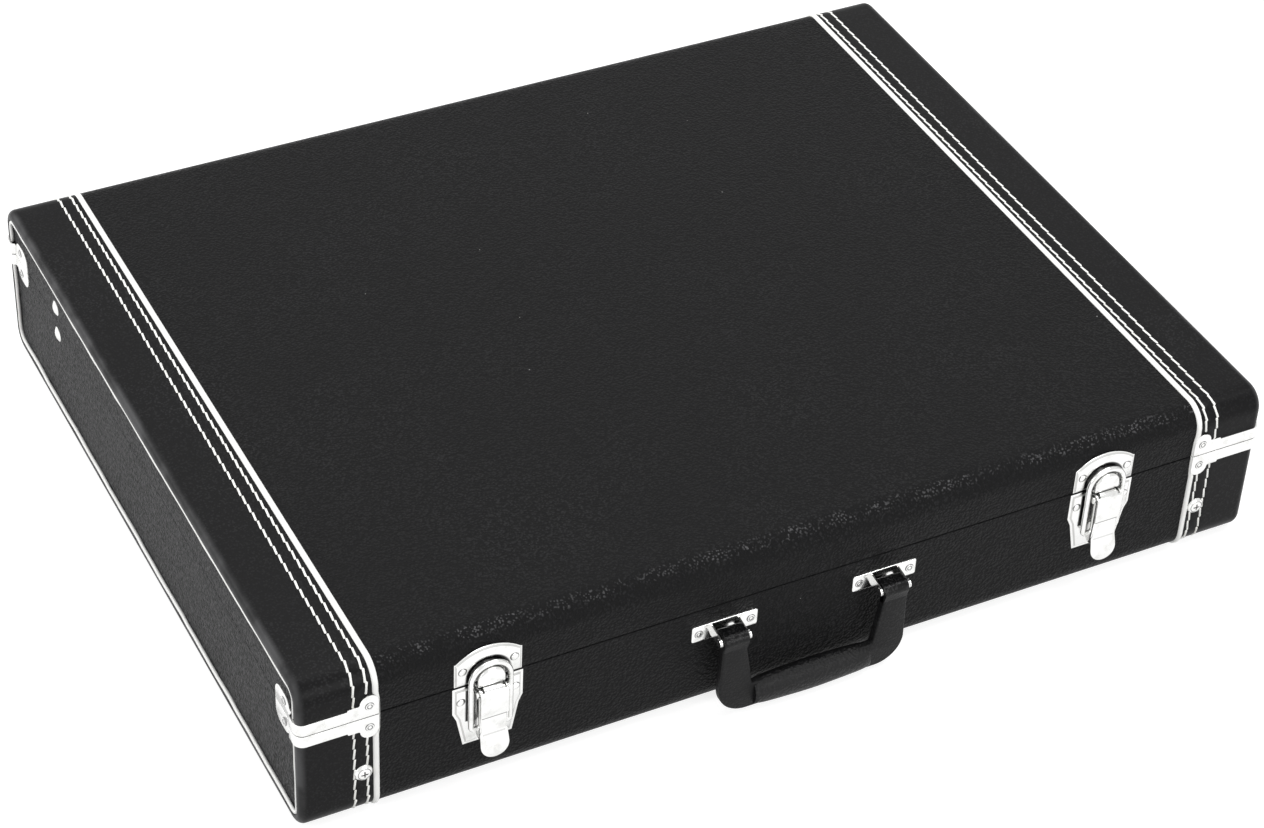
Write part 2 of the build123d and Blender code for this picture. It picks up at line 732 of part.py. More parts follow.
def latch_bail(x):
    """The wire loop: its ends turn in through the lever and its arch hooks over the keeper's dome."""
    arch = PARTING + DOME_TOP + BAIL_REST + BAIL_D / 2
    end = LEVER_HALF_W - FLANGE_T - LATCH_EAR_GAP / 2
    arch_r = BAIL_HALF_W - BAIL_REST / 2
    with BuildPart() as piece:
        with BuildLine(front_plane(x, BAIL_OUT)) as wire:
            FilletPolyline(
                (-end, BAIL_PIVOT_Z),
                (-BAIL_HALF_W, BAIL_PIVOT_Z),
                (-BAIL_HALF_W, arch),
                (BAIL_HALF_W, arch),
                (BAIL_HALF_W, BAIL_PIVOT_Z),
                (end, BAIL_PIVOT_Z),
                radius=[BAIL_BEND_R, arch_r, arch_r, BAIL_BEND_R],
            )
        route = wire.wire()
        with BuildSketch(Plane(origin=route @ 0, z_dir=route % 0)):
            Circle(BAIL_D / 2)
        sweep(path=route)
    return piece.part


for side, word in zip(SIDES, ("left", "right")):
    save(keeper(side * LATCH_X), f"keeper_{word}")
    save(latch_plate(side * LATCH_X), f"latch_plate_{word}")
    save(latch_lever(side * LATCH_X), f"latch_lever_{word}")
    save(latch_bail(side * LATCH_X), f"latch_bail_{word}")

with BuildPart() as latch_pins:
    for side in SIDES:
        with Locations((side * LATCH_X, -FIELD_Y - LEVER_PIVOT_OUT, LEVER_PIVOT_Z)):
            Cylinder(PIN_D / 2, 2 * LEVER_HALF_W, rotation=(0, 90, 0))
        for end in SIDES:
            head_x = side * LATCH_X + end * (LEVER_HALF_W + TRIM_GAP + PIN_HEAD_T / 2)
            with Locations((head_x, -FIELD_Y - LEVER_PIVOT_OUT, LEVER_PIVOT_Z)):
                Cylinder(PIN_HEAD_D / 2, PIN_HEAD_T, rotation=(0, 90, 0))
                Cylinder(PIN_D / 2, PIN_HEAD_T + 2 * TRIM_GAP, rotation=(0, 90, 0))
save(latch_pins.part, "latch_pins")


# Carrying handle

ear_inner = STRAP_TOP_W / 2 + HANDLE_EAR_GAP


def handle_plate(x):
    """One riveted plate of the handle, with two ears for its pin."""
    with BuildPart() as piece:
        with BuildSketch(front_plane(x)):
            with Locations((0, HANDLE_Z)):
                RectangleRounded(HANDLE_PLATE_W, HANDLE_PLATE_H, HANDLE_CORNER_R)
        extrude(amount=PLATE_T)
        for start in (x - ear_inner - HANDLE_EAR_T, x + ear_inner):
            with BuildSketch(Plane.YZ.offset(start)):
                with Locations((-FIELD_Y - HANDLE_OUT, HANDLE_Z)):
                    Circle(HANDLE_EAR_R)
                with Locations((-FIELD_Y - HANDLE_OUT / 2, HANDLE_Z)):
                    Rectangle(HANDLE_OUT, 2 * HANDLE_EAR_R)
            extrude(amount=HANDLE_EAR_T)
        with Locations((x, -FIELD_Y - HANDLE_OUT, HANDLE_Z)):
            Cylinder(HANDLE_PIN_D / 2, 2 * HANDLE_PLATE_W, rotation=(0, 90, 0), mode=Mode.SUBTRACT)
        with Locations(*handle_rivet_places()):
            Hole(RIVET_SHANK_D / 2, depth=2 * PLATE_T)
    return piece.part


for side, word in zip(SIDES, ("left", "right")):
    save(handle_plate(side * HANDLE_X), f"handle_plate_{word}")

pin_reach = ear_inner + HANDLE_EAR_T
with BuildPart() as handle_pins:
    for side in SIDES:
        with Locations((side * HANDLE_X, -FIELD_Y - HANDLE_OUT, HANDLE_Z)):
            Cylinder(HANDLE_PIN_D / 2, 2 * pin_reach, rotation=(0, 90, 0))
        for end in SIDES:
            head_x = side * HANDLE_X + end * (pin_reach + PIN_HEAD_T / 2)
            with Locations((head_x, -FIELD_Y - HANDLE_OUT, HANDLE_Z)):
                Cylinder(HANDLE_PIN_D / 2 + PIN_HEAD_T, PIN_HEAD_T, rotation=(0, 90, 0))
save(handle_pins.part, "handle_pins")

strap_outer = HANDLE_X + STRAP_TOP_W / 2
strap_foot_outer = strap_outer + STRAP_SPREAD
strap_right = [
    (strap_outer - STRAP_TOP_W, HANDLE_Z - STRAP_NECK),
    (strap_outer - STRAP_TOP_W, HANDLE_Z),
    (strap_outer, HANDLE_Z),
    (strap_outer, HANDLE_Z - STRAP_NECK),
    (strap_foot_outer, STRAP_FOOT_Z),
]
strap_bar_top = STRAP_FOOT_Z + STRAP_BAR_H
strap_crotch = strap_foot_outer - STRAP_LOW_W
with BuildPart() as handle_strap:
    with BuildSketch(front_plane(out=HANDLE_OUT - STRAP_T / 2)):
        with BuildLine():
            Polyline(
                (strap_crotch, strap_bar_top),
                *strap_right,
                *[(-a, b) for a, b in reversed(strap_right)],
                (-strap_crotch, strap_bar_top),
                close=True,
            )
        outline = make_face()
        fillet(outline.vertices().group_by(Axis.Y)[1], STRAP_INNER_R)
        fillet(outline.vertices().group_by(Axis.Y)[0], STRAP_CORNER_R)
    extrude(amount=STRAP_T)
    for side in SIDES:
        with Locations((side * HANDLE_X, -FIELD_Y - HANDLE_OUT, HANDLE_Z)):
            Cylinder(EYE_R, STRAP_TOP_W, rotation=(0, 90, 0))
            Cylinder(HANDLE_PIN_D / 2 + RUNNING, 2 * STRAP_TOP_W, rotation=(0, 90, 0), mode=Mode.SUBTRACT)
save(handle_strap.part, "handle_strap")

grip_z = STRAP_FOOT_Z + STRAP_BAR_H / 2
with BuildPart() as handle_grip:
    with BuildSketch(Plane.YZ.offset(-GRIP_HALF_L)):
        with Locations((-FIELD_Y - HANDLE_OUT, grip_z)):
            Ellipse(GRIP_HALF_T, GRIP_HALF_H)
    extrude(amount=2 * GRIP_HALF_L)
    fillet(handle_grip.faces().filter_by(Axis.X).edges(), GRIP_END_ROUND)
    with Locations((0, -FIELD_Y - HANDLE_OUT, grip_z)):
        Box(
            2 * GRIP_HALF_L,
            STRAP_T + 2 * GRIP_FIT,
            STRAP_BAR_H + 2 * GRIP_FIT,
            mode=Mode.SUBTRACT,
        )
save(handle_grip.part, "handle_grip")


# Hinges

HINGE_Y = FIELD_Y + HINGE_STANDOFF + KNUCKLE_R
knuckle_w = HINGE_W / HINGE_KNUCKLES


def hinge_leaves(lower):
    """The leaves on the base or on the lid: each carries every other knuckle round its pin."""
    away = -1 if lower else 1
    edge = BASE_EDGE if lower else LID_EDGE
    mine = 0 if lower else 1
    with BuildPart() as leaves:
        for middle in HINGE_XS:
            with BuildSketch(back_plane(middle)):
                with Locations((0, edge + away * HINGE_LEAF_H / 2)):
                    Rectangle(HINGE_W, HINGE_LEAF_H)
            extrude(amount=PLATE_T)
        outer = leaves.edges().filter_by(Axis.Y).group_by(Axis.Z)[0 if lower else -1]
        fillet(outer, HINGE_CORNER_R)
        for middle in HINGE_XS:
            for number in range(HINGE_KNUCKLES):
                x = middle - HINGE_W / 2 + (number + 0.5) * knuckle_w
                with Locations((x, HINGE_Y, PARTING)):
                    if number % 2 == mine:
                        Cylinder(KNUCKLE_R, knuckle_w - KNUCKLE_GAP, rotation=(0, 90, 0))
                    else:
                        Cylinder(
                            KNUCKLE_R + KNUCKLE_GAP,
                            knuckle_w + KNUCKLE_GAP,
                            rotation=(0, 90, 0),
                            mode=Mode.SUBTRACT,
                        )
            with Locations((middle, HINGE_Y, PARTING)):
                Cylinder(HINGE_PIN_D / 2 + RUNNING, 2 * HINGE_W, rotation=(0, 90, 0), mode=Mode.SUBTRACT)
        with Locations(*hinge_rivet_places(lower)):
            Hole(RIVET_SHANK_D / 2, depth=2 * PLATE_T)
    return leaves.part


save(hinge_leaves(True), "hinge_base_leaves")
save(hinge_leaves(False), "hinge_lid_leaves")

with BuildPart() as hinge_pins:
    with Locations(*[(x, HINGE_Y, PARTING) for x in HINGE_XS]):
        Cylinder(HINGE_PIN_D / 2, HINGE_W, rotation=(0, 90, 0))
save(hinge_pins.part, "hinge_pins")


# Lid stays

UPPER_LINK_X = LINED_X - STAY_WALL_GAP - STAY_T
LOWER_LINK_X = UPPER_LINK_X - STAY_SIDE_GAP - STAY_T
stay_reach = math.sqrt(STAY_LINK**2 - STAY_RISE**2)
stay_angle = math.degrees(math.atan2(STAY_RISE, stay_reach))


def stay_link(side, lower):
    """One link of a folding stay, lying forward from its rivet to the middle joint."""
    near = LOWER_LINK_X if lower else UPPER_LINK_X
    pivot_z = PARTING - STAY_RISE if lower else PARTING + STAY_RISE
    end_hole = STAY_MIDDLE_D / 2 if lower else STAY_MIDDLE_D / 2 + RUNNING
    start = side * near
    with BuildPart() as link:
        with BuildSketch(Plane.YZ.offset(start)):
            with Locations((STAY_Y - stay_reach / 2, (pivot_z + PARTING) / 2)):
                SlotCenterToCenter(STAY_LINK, STAY_W, rotation=-stay_angle if lower else stay_angle)
            with Locations((STAY_Y, pivot_z)):
                Circle(STAY_RIVET_D / 2 + RUNNING, mode=Mode.SUBTRACT)
            with Locations((STAY_Y - stay_reach, PARTING)):
                Circle(end_hole, mode=Mode.SUBTRACT)
        extrude(amount=side * STAY_T)
    return link.part


def stay_rivet(side, lower):
    """A stay's wall rivet: domed outside, with a collar inside the lining and a head beyond the link."""
    near = LOWER_LINK_X if lower else UPPER_LINK_X
    z = PARTING - STAY_RISE if lower else PARTING + STAY_RISE
    stations = [
        (PANEL_X, LINED_X, STAY_RIVET_D),
        (LINED_X, near + STAY_T + STAY_END_GAP, STAY_COLLAR_D),
        (near + STAY_T + STAY_END_GAP, near - STAY_END_GAP, STAY_RIVET_D),
        (near - STAY_END_GAP, near - STAY_END_GAP - STAY_INNER_HEAD_T, STAY_COLLAR_D),
    ]
    with BuildPart() as rivet:
        with Locations(facing(side * PANEL_X, STAY_Y, z, (side, 0, 0))):
            add(turned_rivet(STAY_HEAD_D, STAY_HEAD_H, STAY_RIVET_D, STAY_END_GAP))
        for outer, inner, width in stations:
            with Locations((side * (outer + inner) / 2, STAY_Y, z)):
                Cylinder(width / 2, outer - inner, rotation=(0, 90, 0))
    return rivet.part


for lower, word, place in ((True, "base", "lower"), (False, "lid", "upper")):
    with BuildPart() as pair:
        for side in SIDES:
            add(stay_rivet(side, lower))
    save(pair.part, f"{word}_stay_rivets")
    for side, hand in zip(SIDES, ("left", "right")):
        save(stay_link(side, lower), f"stay_{place}_{hand}")

with BuildPart() as stay_studs:
    for side in SIDES:
        with Locations((side * (LOWER_LINK_X + STAY_T / 2), STAY_Y - stay_reach, PARTING)):
            Cylinder(STAY_MIDDLE_D / 2, STAY_T, rotation=(0, 90, 0))
        head_x = side * (LOWER_LINK_X - STAY_INNER_HEAD_T / 2)
        with Locations((head_x, STAY_Y - stay_reach, PARTING)):
            Cylinder(STAY_COLLAR_D / 2, STAY_INNER_HEAD_T, rotation=(0, 90, 0))
left_stud, right_stud = stay_studs.solids().sort_by(Axis.X)
save(left_stud, "stay_stud_left")
save(right_stud, "stay_stud_right")


# Inside


def lining(low, high, lower):
    """The plush that lines the base or the lid, drilled where the stays' rivets pass."""
    with BuildPart() as tray:
        with Locations((0, 0, (low + high) / 2)):
            Box(2 * CAVITY_X, 2 * CAVITY_Y, high - low)
        lift = LINING_T if lower else -LINING_T
        with Locations((0, 0, (low + high) / 2 + lift)):
            Box(2 * LINED_X, 2 * LINED_Y, high - low, mode=Mode.SUBTRACT)
        for side in SIDES:
            stay_hole(side, lower)
    return tray.part


save(lining(FLOOR_TOP, BASE_EDGE, True), "base_lining")
save(lining(LID_EDGE, LID_CEILING, False), "lid_lining")

lined_floor = FLOOR_TOP + LINING_T
pad_top = lined_floor + PAD_T
with BuildPart() as floor_pad:
    with Locations((0, 0, lined_floor + PAD_T / 2)):
        Box(2 * (LINED_X - PAD_FIT), 2 * (LINED_Y - PAD_FIT), PAD_T)
save(floor_pad.part, "floor_pad")

divider_xs = [(number - BAYS / 2) * BAY_PITCH for number in range(1, BAYS)]
with BuildPart() as dividers:
    with Locations(*[(x, (DIVIDER_FRONT + DIVIDER_BACK) / 2, pad_top + DIVIDER_H / 2) for x in divider_xs]):
        Box(DIVIDER_T, DIVIDER_BACK - DIVIDER_FRONT, DIVIDER_H)
    crowns = dividers.faces().filter_by(Axis.Z).group_by(Axis.Z)[-1]
    fillet(crowns.edges(), DIVIDER_ROUND)
save(dividers.part, "dividers")

lid_lined = LID_CEILING - LINING_T
notch_xs = [(number + 0.5 - BAYS / 2) * BAY_PITCH for number in range(BAYS)]
notch_centre_z = REST_FOOT_Z + NOTCH_STRAIGHT


def notch(radius):
    """Draws the U of one neck notch, open below."""
    with Locations((0, notch_centre_z)):
        Circle(radius)
    with Locations((0, REST_FOOT_Z + NOTCH_STRAIGHT / 2)):
        Rectangle(2 * radius, NOTCH_STRAIGHT)


with BuildPart() as neck_rest:
    with Locations((0, REST_FRONT + REST_T / 2, (REST_FOOT_Z + lid_lined) / 2)):
        Box(2 * REST_HALF_L, REST_T, lid_lined - REST_FOOT_Z)
    for x in notch_xs:
        with BuildSketch(Plane(origin=(x, REST_FRONT, 0), x_dir=(1, 0, 0), z_dir=(0, -1, 0))):
            notch(NOTCH_R)
        extrude(amount=-REST_T, mode=Mode.SUBTRACT)
save(neck_rest.part, "neck_rest")

with BuildPart() as neck_pads:
    for x in notch_xs:
        front = REST_FRONT - NOTCH_PAD_PROUD
        with BuildSketch(Plane(origin=(x, front, 0), x_dir=(1, 0, 0), z_dir=(0, -1, 0))):
            notch(NOTCH_R)
            with Locations((0, notch_centre_z)):
                Circle(NOTCH_R - NOTCH_PAD_T, mode=Mode.SUBTRACT)
            with Locations((0, notch_centre_z - NOTCH_R)):
                Rectangle(2 * (NOTCH_R - NOTCH_PAD_T), 2 * NOTCH_R, mode=Mode.SUBTRACT)
            with Locations((0, REST_FOOT_Z - NOTCH_R)):
                Rectangle(4 * NOTCH_R, 2 * NOTCH_R, mode=Mode.SUBTRACT)
        extrude(amount=-(REST_T + 2 * NOTCH_PAD_PROUD))
save(neck_pads.part, "neck_pads")

with BuildPart() as neck_cleat:
    with Locations((0, REST_FRONT + REST_T + CLEAT_T / 2, lid_lined - CLEAT_H / 2)):
        Box(2 * REST_HALF_L, CLEAT_T, CLEAT_H)
save(neck_cleat.part, "neck_cleat")
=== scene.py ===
import math

import bmesh
import bpy
from mathutils import Matrix, Vector, noise


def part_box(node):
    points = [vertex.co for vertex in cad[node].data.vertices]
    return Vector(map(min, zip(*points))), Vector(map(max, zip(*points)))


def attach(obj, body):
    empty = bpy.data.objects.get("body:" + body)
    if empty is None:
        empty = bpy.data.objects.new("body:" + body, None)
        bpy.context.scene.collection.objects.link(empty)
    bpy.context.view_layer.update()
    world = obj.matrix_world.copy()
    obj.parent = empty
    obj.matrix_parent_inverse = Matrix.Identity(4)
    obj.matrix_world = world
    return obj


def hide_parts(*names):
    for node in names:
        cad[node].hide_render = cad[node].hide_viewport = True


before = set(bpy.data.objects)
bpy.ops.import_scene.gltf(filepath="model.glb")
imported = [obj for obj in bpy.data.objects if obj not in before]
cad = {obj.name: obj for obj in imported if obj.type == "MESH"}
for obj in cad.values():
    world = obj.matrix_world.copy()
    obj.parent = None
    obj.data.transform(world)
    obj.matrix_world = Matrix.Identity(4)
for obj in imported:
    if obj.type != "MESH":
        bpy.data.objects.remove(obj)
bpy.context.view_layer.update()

# The plywood box
# Birch plywood boards, glued and pinned at their corners. Leathercloth hides them outside and is
# turned in over their rims at the parting, and plush hides them inside.

MM = 0.001
BASE_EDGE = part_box("base_bands")[1].z
LID_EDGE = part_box("lid_bands")[0].z
PARTING = (BASE_EDGE + LID_EDGE) / 2
HALVES = (("base", False, BASE_EDGE), ("lid", True, LID_EDGE))
TURNED_IN = 6 * MM
BLACK = (0.0040, 0.0040, 0.0043)


class Signal:
    """One shader socket. Arithmetic on it adds the Math node that it stands for."""

    def __init__(self, finish, socket):
        self.finish = finish
        self.socket = socket

    def maths(self, operation, *values):
        return self.finish.add("ShaderNodeMath", {"operation": operation}, dict(enumerate(values)))

    def __abs__(self):
        return self.maths("ABSOLUTE", self)

    def __add__(self, other):
        return self.maths("ADD", self, other)

    def __sub__(self, other):
        return self.maths("SUBTRACT", self, other)

    def __rsub__(self, other):
        return self.maths("SUBTRACT", other, self)

    def __mul__(self, other):
        return self.maths("MULTIPLY", self, other)

    def __gt__(self, other):
        return self.maths("GREATER_THAN", self, other)

    def __lt__(self, other):
        return self.maths("LESS_THAN", self, other)

    def root(self):
        return self.maths("SQRT", self)

    __radd__ = __add__
    __rmul__ = __mul__


class Nodes:
    """A tree of shader nodes."""

    def __init__(self, tree):
        self.tree = tree

    def feed(self, place, value):
        """Links a signal to a socket, or sets the socket's own value."""
        if isinstance(value, Signal):
            self.tree.links.new(value.socket, place)
        else:
            place.default_value = value

    def add(self, kind, settings=None, inputs=None, out=0):
        """Adds one node: its settings first, then the values or links of its sockets."""
        node = self.tree.nodes.new(kind)
        for key, value in (settings or {}).items():
            setattr(node, key, value)
        for key, value in (inputs or {}).items():
            self.feed(node.inputs[key], value)
        return Signal(self, node.outputs[out])


class Finish(Nodes):
    """A material: one Principled shader, and the nodes that feed it."""

    def __init__(self, name, **settings):
        self.material = bpy.data.materials.new(name)
        self.material.use_nodes = True
        super().__init__(self.material.node_tree)
        self.shader = self.tree.nodes["Principled BSDF"]
        self.normal = None
        for socket, value in settings.items():
            self.wear(socket.replace("_", " ").title().replace("Ior", "IOR"), value)

    def place(self, stretch=(1, 1, 1)):
        """Where the surface is on the case, in metres, stretched for a pattern."""
        spot = self.add("ShaderNodeTexCoord", out="Object")
        return self.add("ShaderNodeMapping", None, {"Vector": spot, "Scale": stretch})

    def along(self, axis):
        """Where the surface is on the case along one axis."""
        return self.add("ShaderNodeSeparateXYZ", None, {"Vector": self.place()}, out="XYZ".index(axis))

    def cloud(self, spot, scale, detail=3.0, roughness=0.55, distortion=0.0):
        """Soft noise from 0 to 1, scale in blobs a metre."""
        inputs = {"Vector": spot, "Scale": scale, "Detail": detail, "Roughness": roughness}
        return self.add("ShaderNodeTexNoise", None, {**inputs, "Distortion": distortion})

    def cells(self, spot, scale, feature="F1", wander=1.0):
        """Distance to the nearest of scattered points, scale in cells a metre."""
        inputs = {"Vector": spot, "Scale": scale, "Randomness": wander}
        return self.add("ShaderNodeTexVoronoi", {"feature": feature}, inputs, out="Distance")

    def ease(self, value, low, high, start=0.0, end=1.0):
        """Goes smoothly from start to end as the value goes from low to high."""
        inputs = {"Value": value, "From Min": low, "From Max": high, "To Min": start, "To Max": end}
        return self.add("ShaderNodeMapRange", {"interpolation_type": "SMOOTHSTEP"}, inputs)

    def shade(self, mask, low, high):
        """A colour between two, by a mask. The low one may be a signal."""
        inputs = {0: mask, 6: low if isinstance(low, Signal) else (*low, 1), 7: (*high, 1)}
        return self.add("ShaderNodeMix", {"data_type": "RGBA"}, inputs, out=2)

    def relief(self, height, depth):
        """Raises the surface by height times depth, on top of any relief before it."""
        inputs = {"Height": height, "Distance": depth, "Strength": 1.0}
        if self.normal:
            inputs["Normal"] = self.normal
        self.normal = self.add("ShaderNodeBump", None, inputs)
        self.wear("Normal", self.normal)

    def wear(self, socket, value):
        """Feeds a socket of the surface."""
        self.feed(self.shader.inputs[socket], value)

    def paint(self, *names):
        """Gives CAD nodes this finish."""
        for name in names:
            materials = cad[name].data.materials
            materials.clear()
            materials.append(self.material)


PLY_PALE = (0.60, 0.45, 0.29)
PLY_DARK = (0.42, 0.29, 0.17)
PLY_RELIEF = 0.15 * MM
plywood = Finish("birch_plywood", roughness=0.62)
ply_grain = plywood.cloud(plywood.place((9, 160, 160)), 1.0, 5.0, 0.6, 0.6)
wood = plywood.shade(plywood.ease(ply_grain, 0.35, 0.7), PLY_PALE, PLY_DARK)
plywood.wear("Base Color", plywood.shade(abs(plywood.along("Z") - PARTING) < TURNED_IN, wood, BLACK))
plywood.relief(ply_grain, PLY_RELIEF)
for part, *_ in HALVES:
    plywood.paint(*[f"{part}_{place}_wall" for place in ("front", "back", "left", "right")])
plywood.paint("base_floor", "lid_top")

# The grained cover
# Black leathercloth with a pebbled grain, glued round the middle of the base and the lid and turned
# in at the parting. It is rubbed paler along the long edges, where a speckled highlight is painted
# into its colour as well, and it has picked up a few white specks.

HALF_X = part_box("base_bands")[1].x
HALF_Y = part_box("base_bands")[1].y
TOP_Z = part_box("lid_bands")[1].z
CORNER_R = 15 * MM
WRAP_T = 2.4 * MM
COVER_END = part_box("base_cover")[1].x
BOARD_X, BOARD_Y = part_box("bottom_board")[1].xy
CORNER_STEPS = 10
RUN_STEPS = 12
TURN_IN_R = 0.55 * MM
OUTER_X, OUTER_Y = 1.5 * MM, 1.6 * MM
WELD = 0.01 * MM
HAIR = 0.1 * MM

BLACK_WORN = (0.0170, 0.0170, 0.0178)
# Paler along the long edges: rubbing there, and a speckled highlight painted into the colour.
EDGE_RUBBED_AND_HIGHLIGHT = (0.080, 0.080, 0.082)
RUB_AND_HIGHLIGHT_AT = math.radians(28)
RUB_AND_HIGHLIGHT_FROM, RUB_AND_HIGHLIGHT_TO = 0.9 * MM, 0.2 * MM
SPECK_WHITE = (0.55, 0.55, 0.55)
GRAIN_A_METRE = 620
CREASE_A_METRE = 190
GRAIN_DEPTH = 0.55 * MM
SPECKS_A_METRE = 31
SPECK_SIZE = 0.011


def leathercloth(name, grain_depth, crown_colour, roughness, gloss=0.085):
    """Black leathercloth: rounded pebbles parted by fine creases, with crowns paler in the given colour:
    worn, and on the end panels a painted highlight.
    """
    cloth = Finish(name, roughness=roughness, specular_ior_level=gloss)
    spot = cloth.place()
    drift = cloth.cloud(spot, CREASE_A_METRE, 2.0, 0.5)
    pebble = cloth.ease(cloth.cells(spot, GRAIN_A_METRE, "SMOOTH_F1"), 0.05, 0.75, 1.0, 0.0)
    fine = cloth.cloud(spot, 2.6 * GRAIN_A_METRE, 3.0, 0.6, 0.4)
    height = pebble * (0.6 + 0.6 * drift) + fine * 0.45
    cloth.relief(height, grain_depth)
    patches = cloth.cloud(spot, 9, 4.0, 0.6)
    crowns = cloth.ease(height, 0.62, 1.12) * cloth.ease(patches, 0.38, 0.70, 0.4, 1.0)
    cloth.grain, cloth.colour = height, cloth.shade(crowns, BLACK, crown_colour)
    cloth.wear("Base Color", cloth.colour)
    cloth.wear("Roughness", roughness + 0.12 * (patches - 0.5) + 0.10 * (fine - 0.5))
    return cloth


def arc(centre, radius, start, end, steps):
    """Points of an arc, both ends included, angles in degrees."""
    angles = [math.radians(start + (end - start) * step / steps) for step in range(steps + 1)]
    return [(centre[0] + radius * math.cos(a), centre[1] + radius * math.sin(a)) for a in angles]


def whole(bm):
    """Everything in a bmesh, as most operators want it."""
    return bm.verts[:] + bm.edges[:] + bm.faces[:]


def closed_loop(bm, points):
    """Draws a closed outline of edges through points."""
    corners = [bm.verts.new(point) for point in points]
    edges = [bm.edges.new(pair) for pair in zip(corners, corners[1:] + corners[:1])]
    return corners + edges


def carry(bm, outline, runs):
    """Sweeps an outline along runs, each a straight shift or a turn, and returns its far end."""
    for run in runs:
        swept = bmesh.ops.spin(
            bm, geom=outline, cent=run.get("centre", (0, 0, 0)), axis=run.get("axis", (1, 0, 0)),
            dvec=Vector(run.get("shift", (0, 0, 0))) / run["steps"], angle=math.radians(run.get("turn", 0)),
            steps=run["steps"], use_merge=False, use_normal_flip=False, use_duplicate=False,
        )
        outline = swept["geom_last"]
    return outline


def round_the_case(bm, profile, rise_steps=RUN_STEPS):
    """Sweeps a profile of (x, inset) points once round the case: up, back, down and forward."""
    foot, top = CORNER_R, TOP_Z - CORNER_R
    back = HALF_Y - CORNER_R
    start = closed_loop(bm, [(x, -HALF_Y + inset, foot) for x, inset in profile])
    turn = {"turn": -90, "steps": CORNER_STEPS}
    carry(bm, start, [
        {"shift": (0, 0, top - foot), "steps": rise_steps},
        {**turn, "centre": (0, -back, top)},
        {"shift": (0, 2 * back, 0), "steps": 4 * RUN_STEPS},
        {**turn, "centre": (0, back, top)},
        {"shift": (0, 0, foot - top), "steps": rise_steps},
        {**turn, "centre": (0, back, foot)},
        {"shift": (0, -2 * back, 0), "steps": 4 * RUN_STEPS},
        {**turn, "centre": (0, -back, foot)},
    ])
    bmesh.ops.remove_doubles(bm, verts=bm.verts, dist=WELD)


def tuck_under_board(bm):
    """Lifts the bottom run between the wood and the bottom board, where the real edge ends."""
    for vert in bm.verts:
        under = vert.co.z < WRAP_T and abs(vert.co.y) < BOARD_Y - HAIR and abs(vert.co.x) < BOARD_X
        vert.co.z = WRAP_T if under else vert.co.z


def keep_side(bm, height, upper, turn_in=0.0):
    """Cuts everything at a height, keeps one side, closes the cut and may round its outer edge."""
    cut = bmesh.ops.bisect_plane(
        bm, geom=whole(bm), plane_co=(0, 0, height), plane_no=(0, 0, 1), clear_inner=upper,
        clear_outer=not upper,
    )
    rims = [item for item in cut["geom_cut"] if isinstance(item, bmesh.types.BMEdge)]
    caps = bmesh.ops.holes_fill(bm, edges=rims, sides=0)["faces"]
    if turn_in:
        outer = []
        for edge in dict.fromkeys(edge for cap in caps for edge in cap.edges):
            middle = (edge.verts[0].co + edge.verts[1].co) / 2
            if abs(middle.y) > HALF_Y - OUTER_Y or abs(middle.x) > HALF_X - OUTER_X:
                outer.append(edge)
        round_edges(bm, outer, turn_in)


def round_edges(bm, edges, radius, segments=2):
    """Rounds edges over."""
    bmesh.ops.bevel(
        bm, geom=edges, offset=radius, offset_type="OFFSET", segments=segments, profile=0.5, affect="EDGES",
        material=-1, clamp_overlap=True,
    )


def mesh_of(name, bm):
    """Turns a bmesh into a mesh and frees it."""
    mesh = bpy.data.meshes.new(name)
    bm.to_mesh(mesh)
    bm.free()
    return mesh


def make_piece(name, bm, finish, body, stands_for=(), sharp=42):
    """Turns a bmesh into a smooth-shaded piece that rides on a body."""
    bmesh.ops.recalc_face_normals(bm, faces=bm.faces)
    for face in bm.faces:
        face.smooth = True
    for edge in bm.edges:
        edge.smooth = edge.calc_face_angle(0) < math.radians(sharp)
    mesh = mesh_of(name, bm)
    mesh.materials.append(finish.material)
    piece = bpy.data.objects.new(name, mesh)
    bpy.context.scene.collection.objects.link(piece)
    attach(piece, body)
    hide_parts(*stands_for)
    return piece


grained = leathercloth("grained_leathercloth", GRAIN_DEPTH, BLACK_WORN, 0.46)
# Along the long edges the crowns are rubbed paler and also carry a painted speckled highlight.
across, rise = abs(grained.along("Y")), abs(grained.along("Z") - TOP_Z / 2)
sine, cosine = math.sin(RUB_AND_HIGHLIGHT_AT), math.cos(RUB_AND_HIGHLIGHT_AT)
ridge = (HALF_Y - CORNER_R) * sine + (TOP_Z / 2 - CORNER_R) * cosine + CORNER_R
along_rubbed_highlight = grained.ease(across * sine + rise * cosine, ridge - RUB_AND_HIGHLIGHT_FROM, ridge - RUB_AND_HIGHLIGHT_TO)
patchy = grained.ease(grained.cloud(grained.place(), 90, 3.0), 0.36, 0.66)
rubbed = grained.shade(
    along_rubbed_highlight * grained.ease(grained.grain, 0.70, 1.05) * patchy, grained.colour, EDGE_RUBBED_AND_HIGHLIGHT,
)
speck = grained.cells(grained.place(), SPECKS_A_METRE) < SPECK_SIZE
grained.wear("Base Color", grained.shade(speck, rubbed, SPECK_WHITE))

for part, upper, edge in HALVES:
    wrap = bmesh.new()
    face = [(-COVER_END + 2 * COVER_END * step / RUN_STEPS, 0) for step in range(RUN_STEPS + 1)]
    round_the_case(wrap, face + [(COVER_END, WRAP_T), (-COVER_END, WRAP_T)])
    if not upper:
        tuck_under_board(wrap)
    keep_side(wrap, edge, upper, TURN_IN_R)
    make_piece(f"{part}_grained_wrap", wrap, grained, part, (f"{part}_cover",), 50)

# The end panels and the underside
# The same cloth covers the panel that is let into each end face, whose crowns carry a painted
# highlight of pale speckle, and the flat board underneath, which is scuffed dull by the ground.

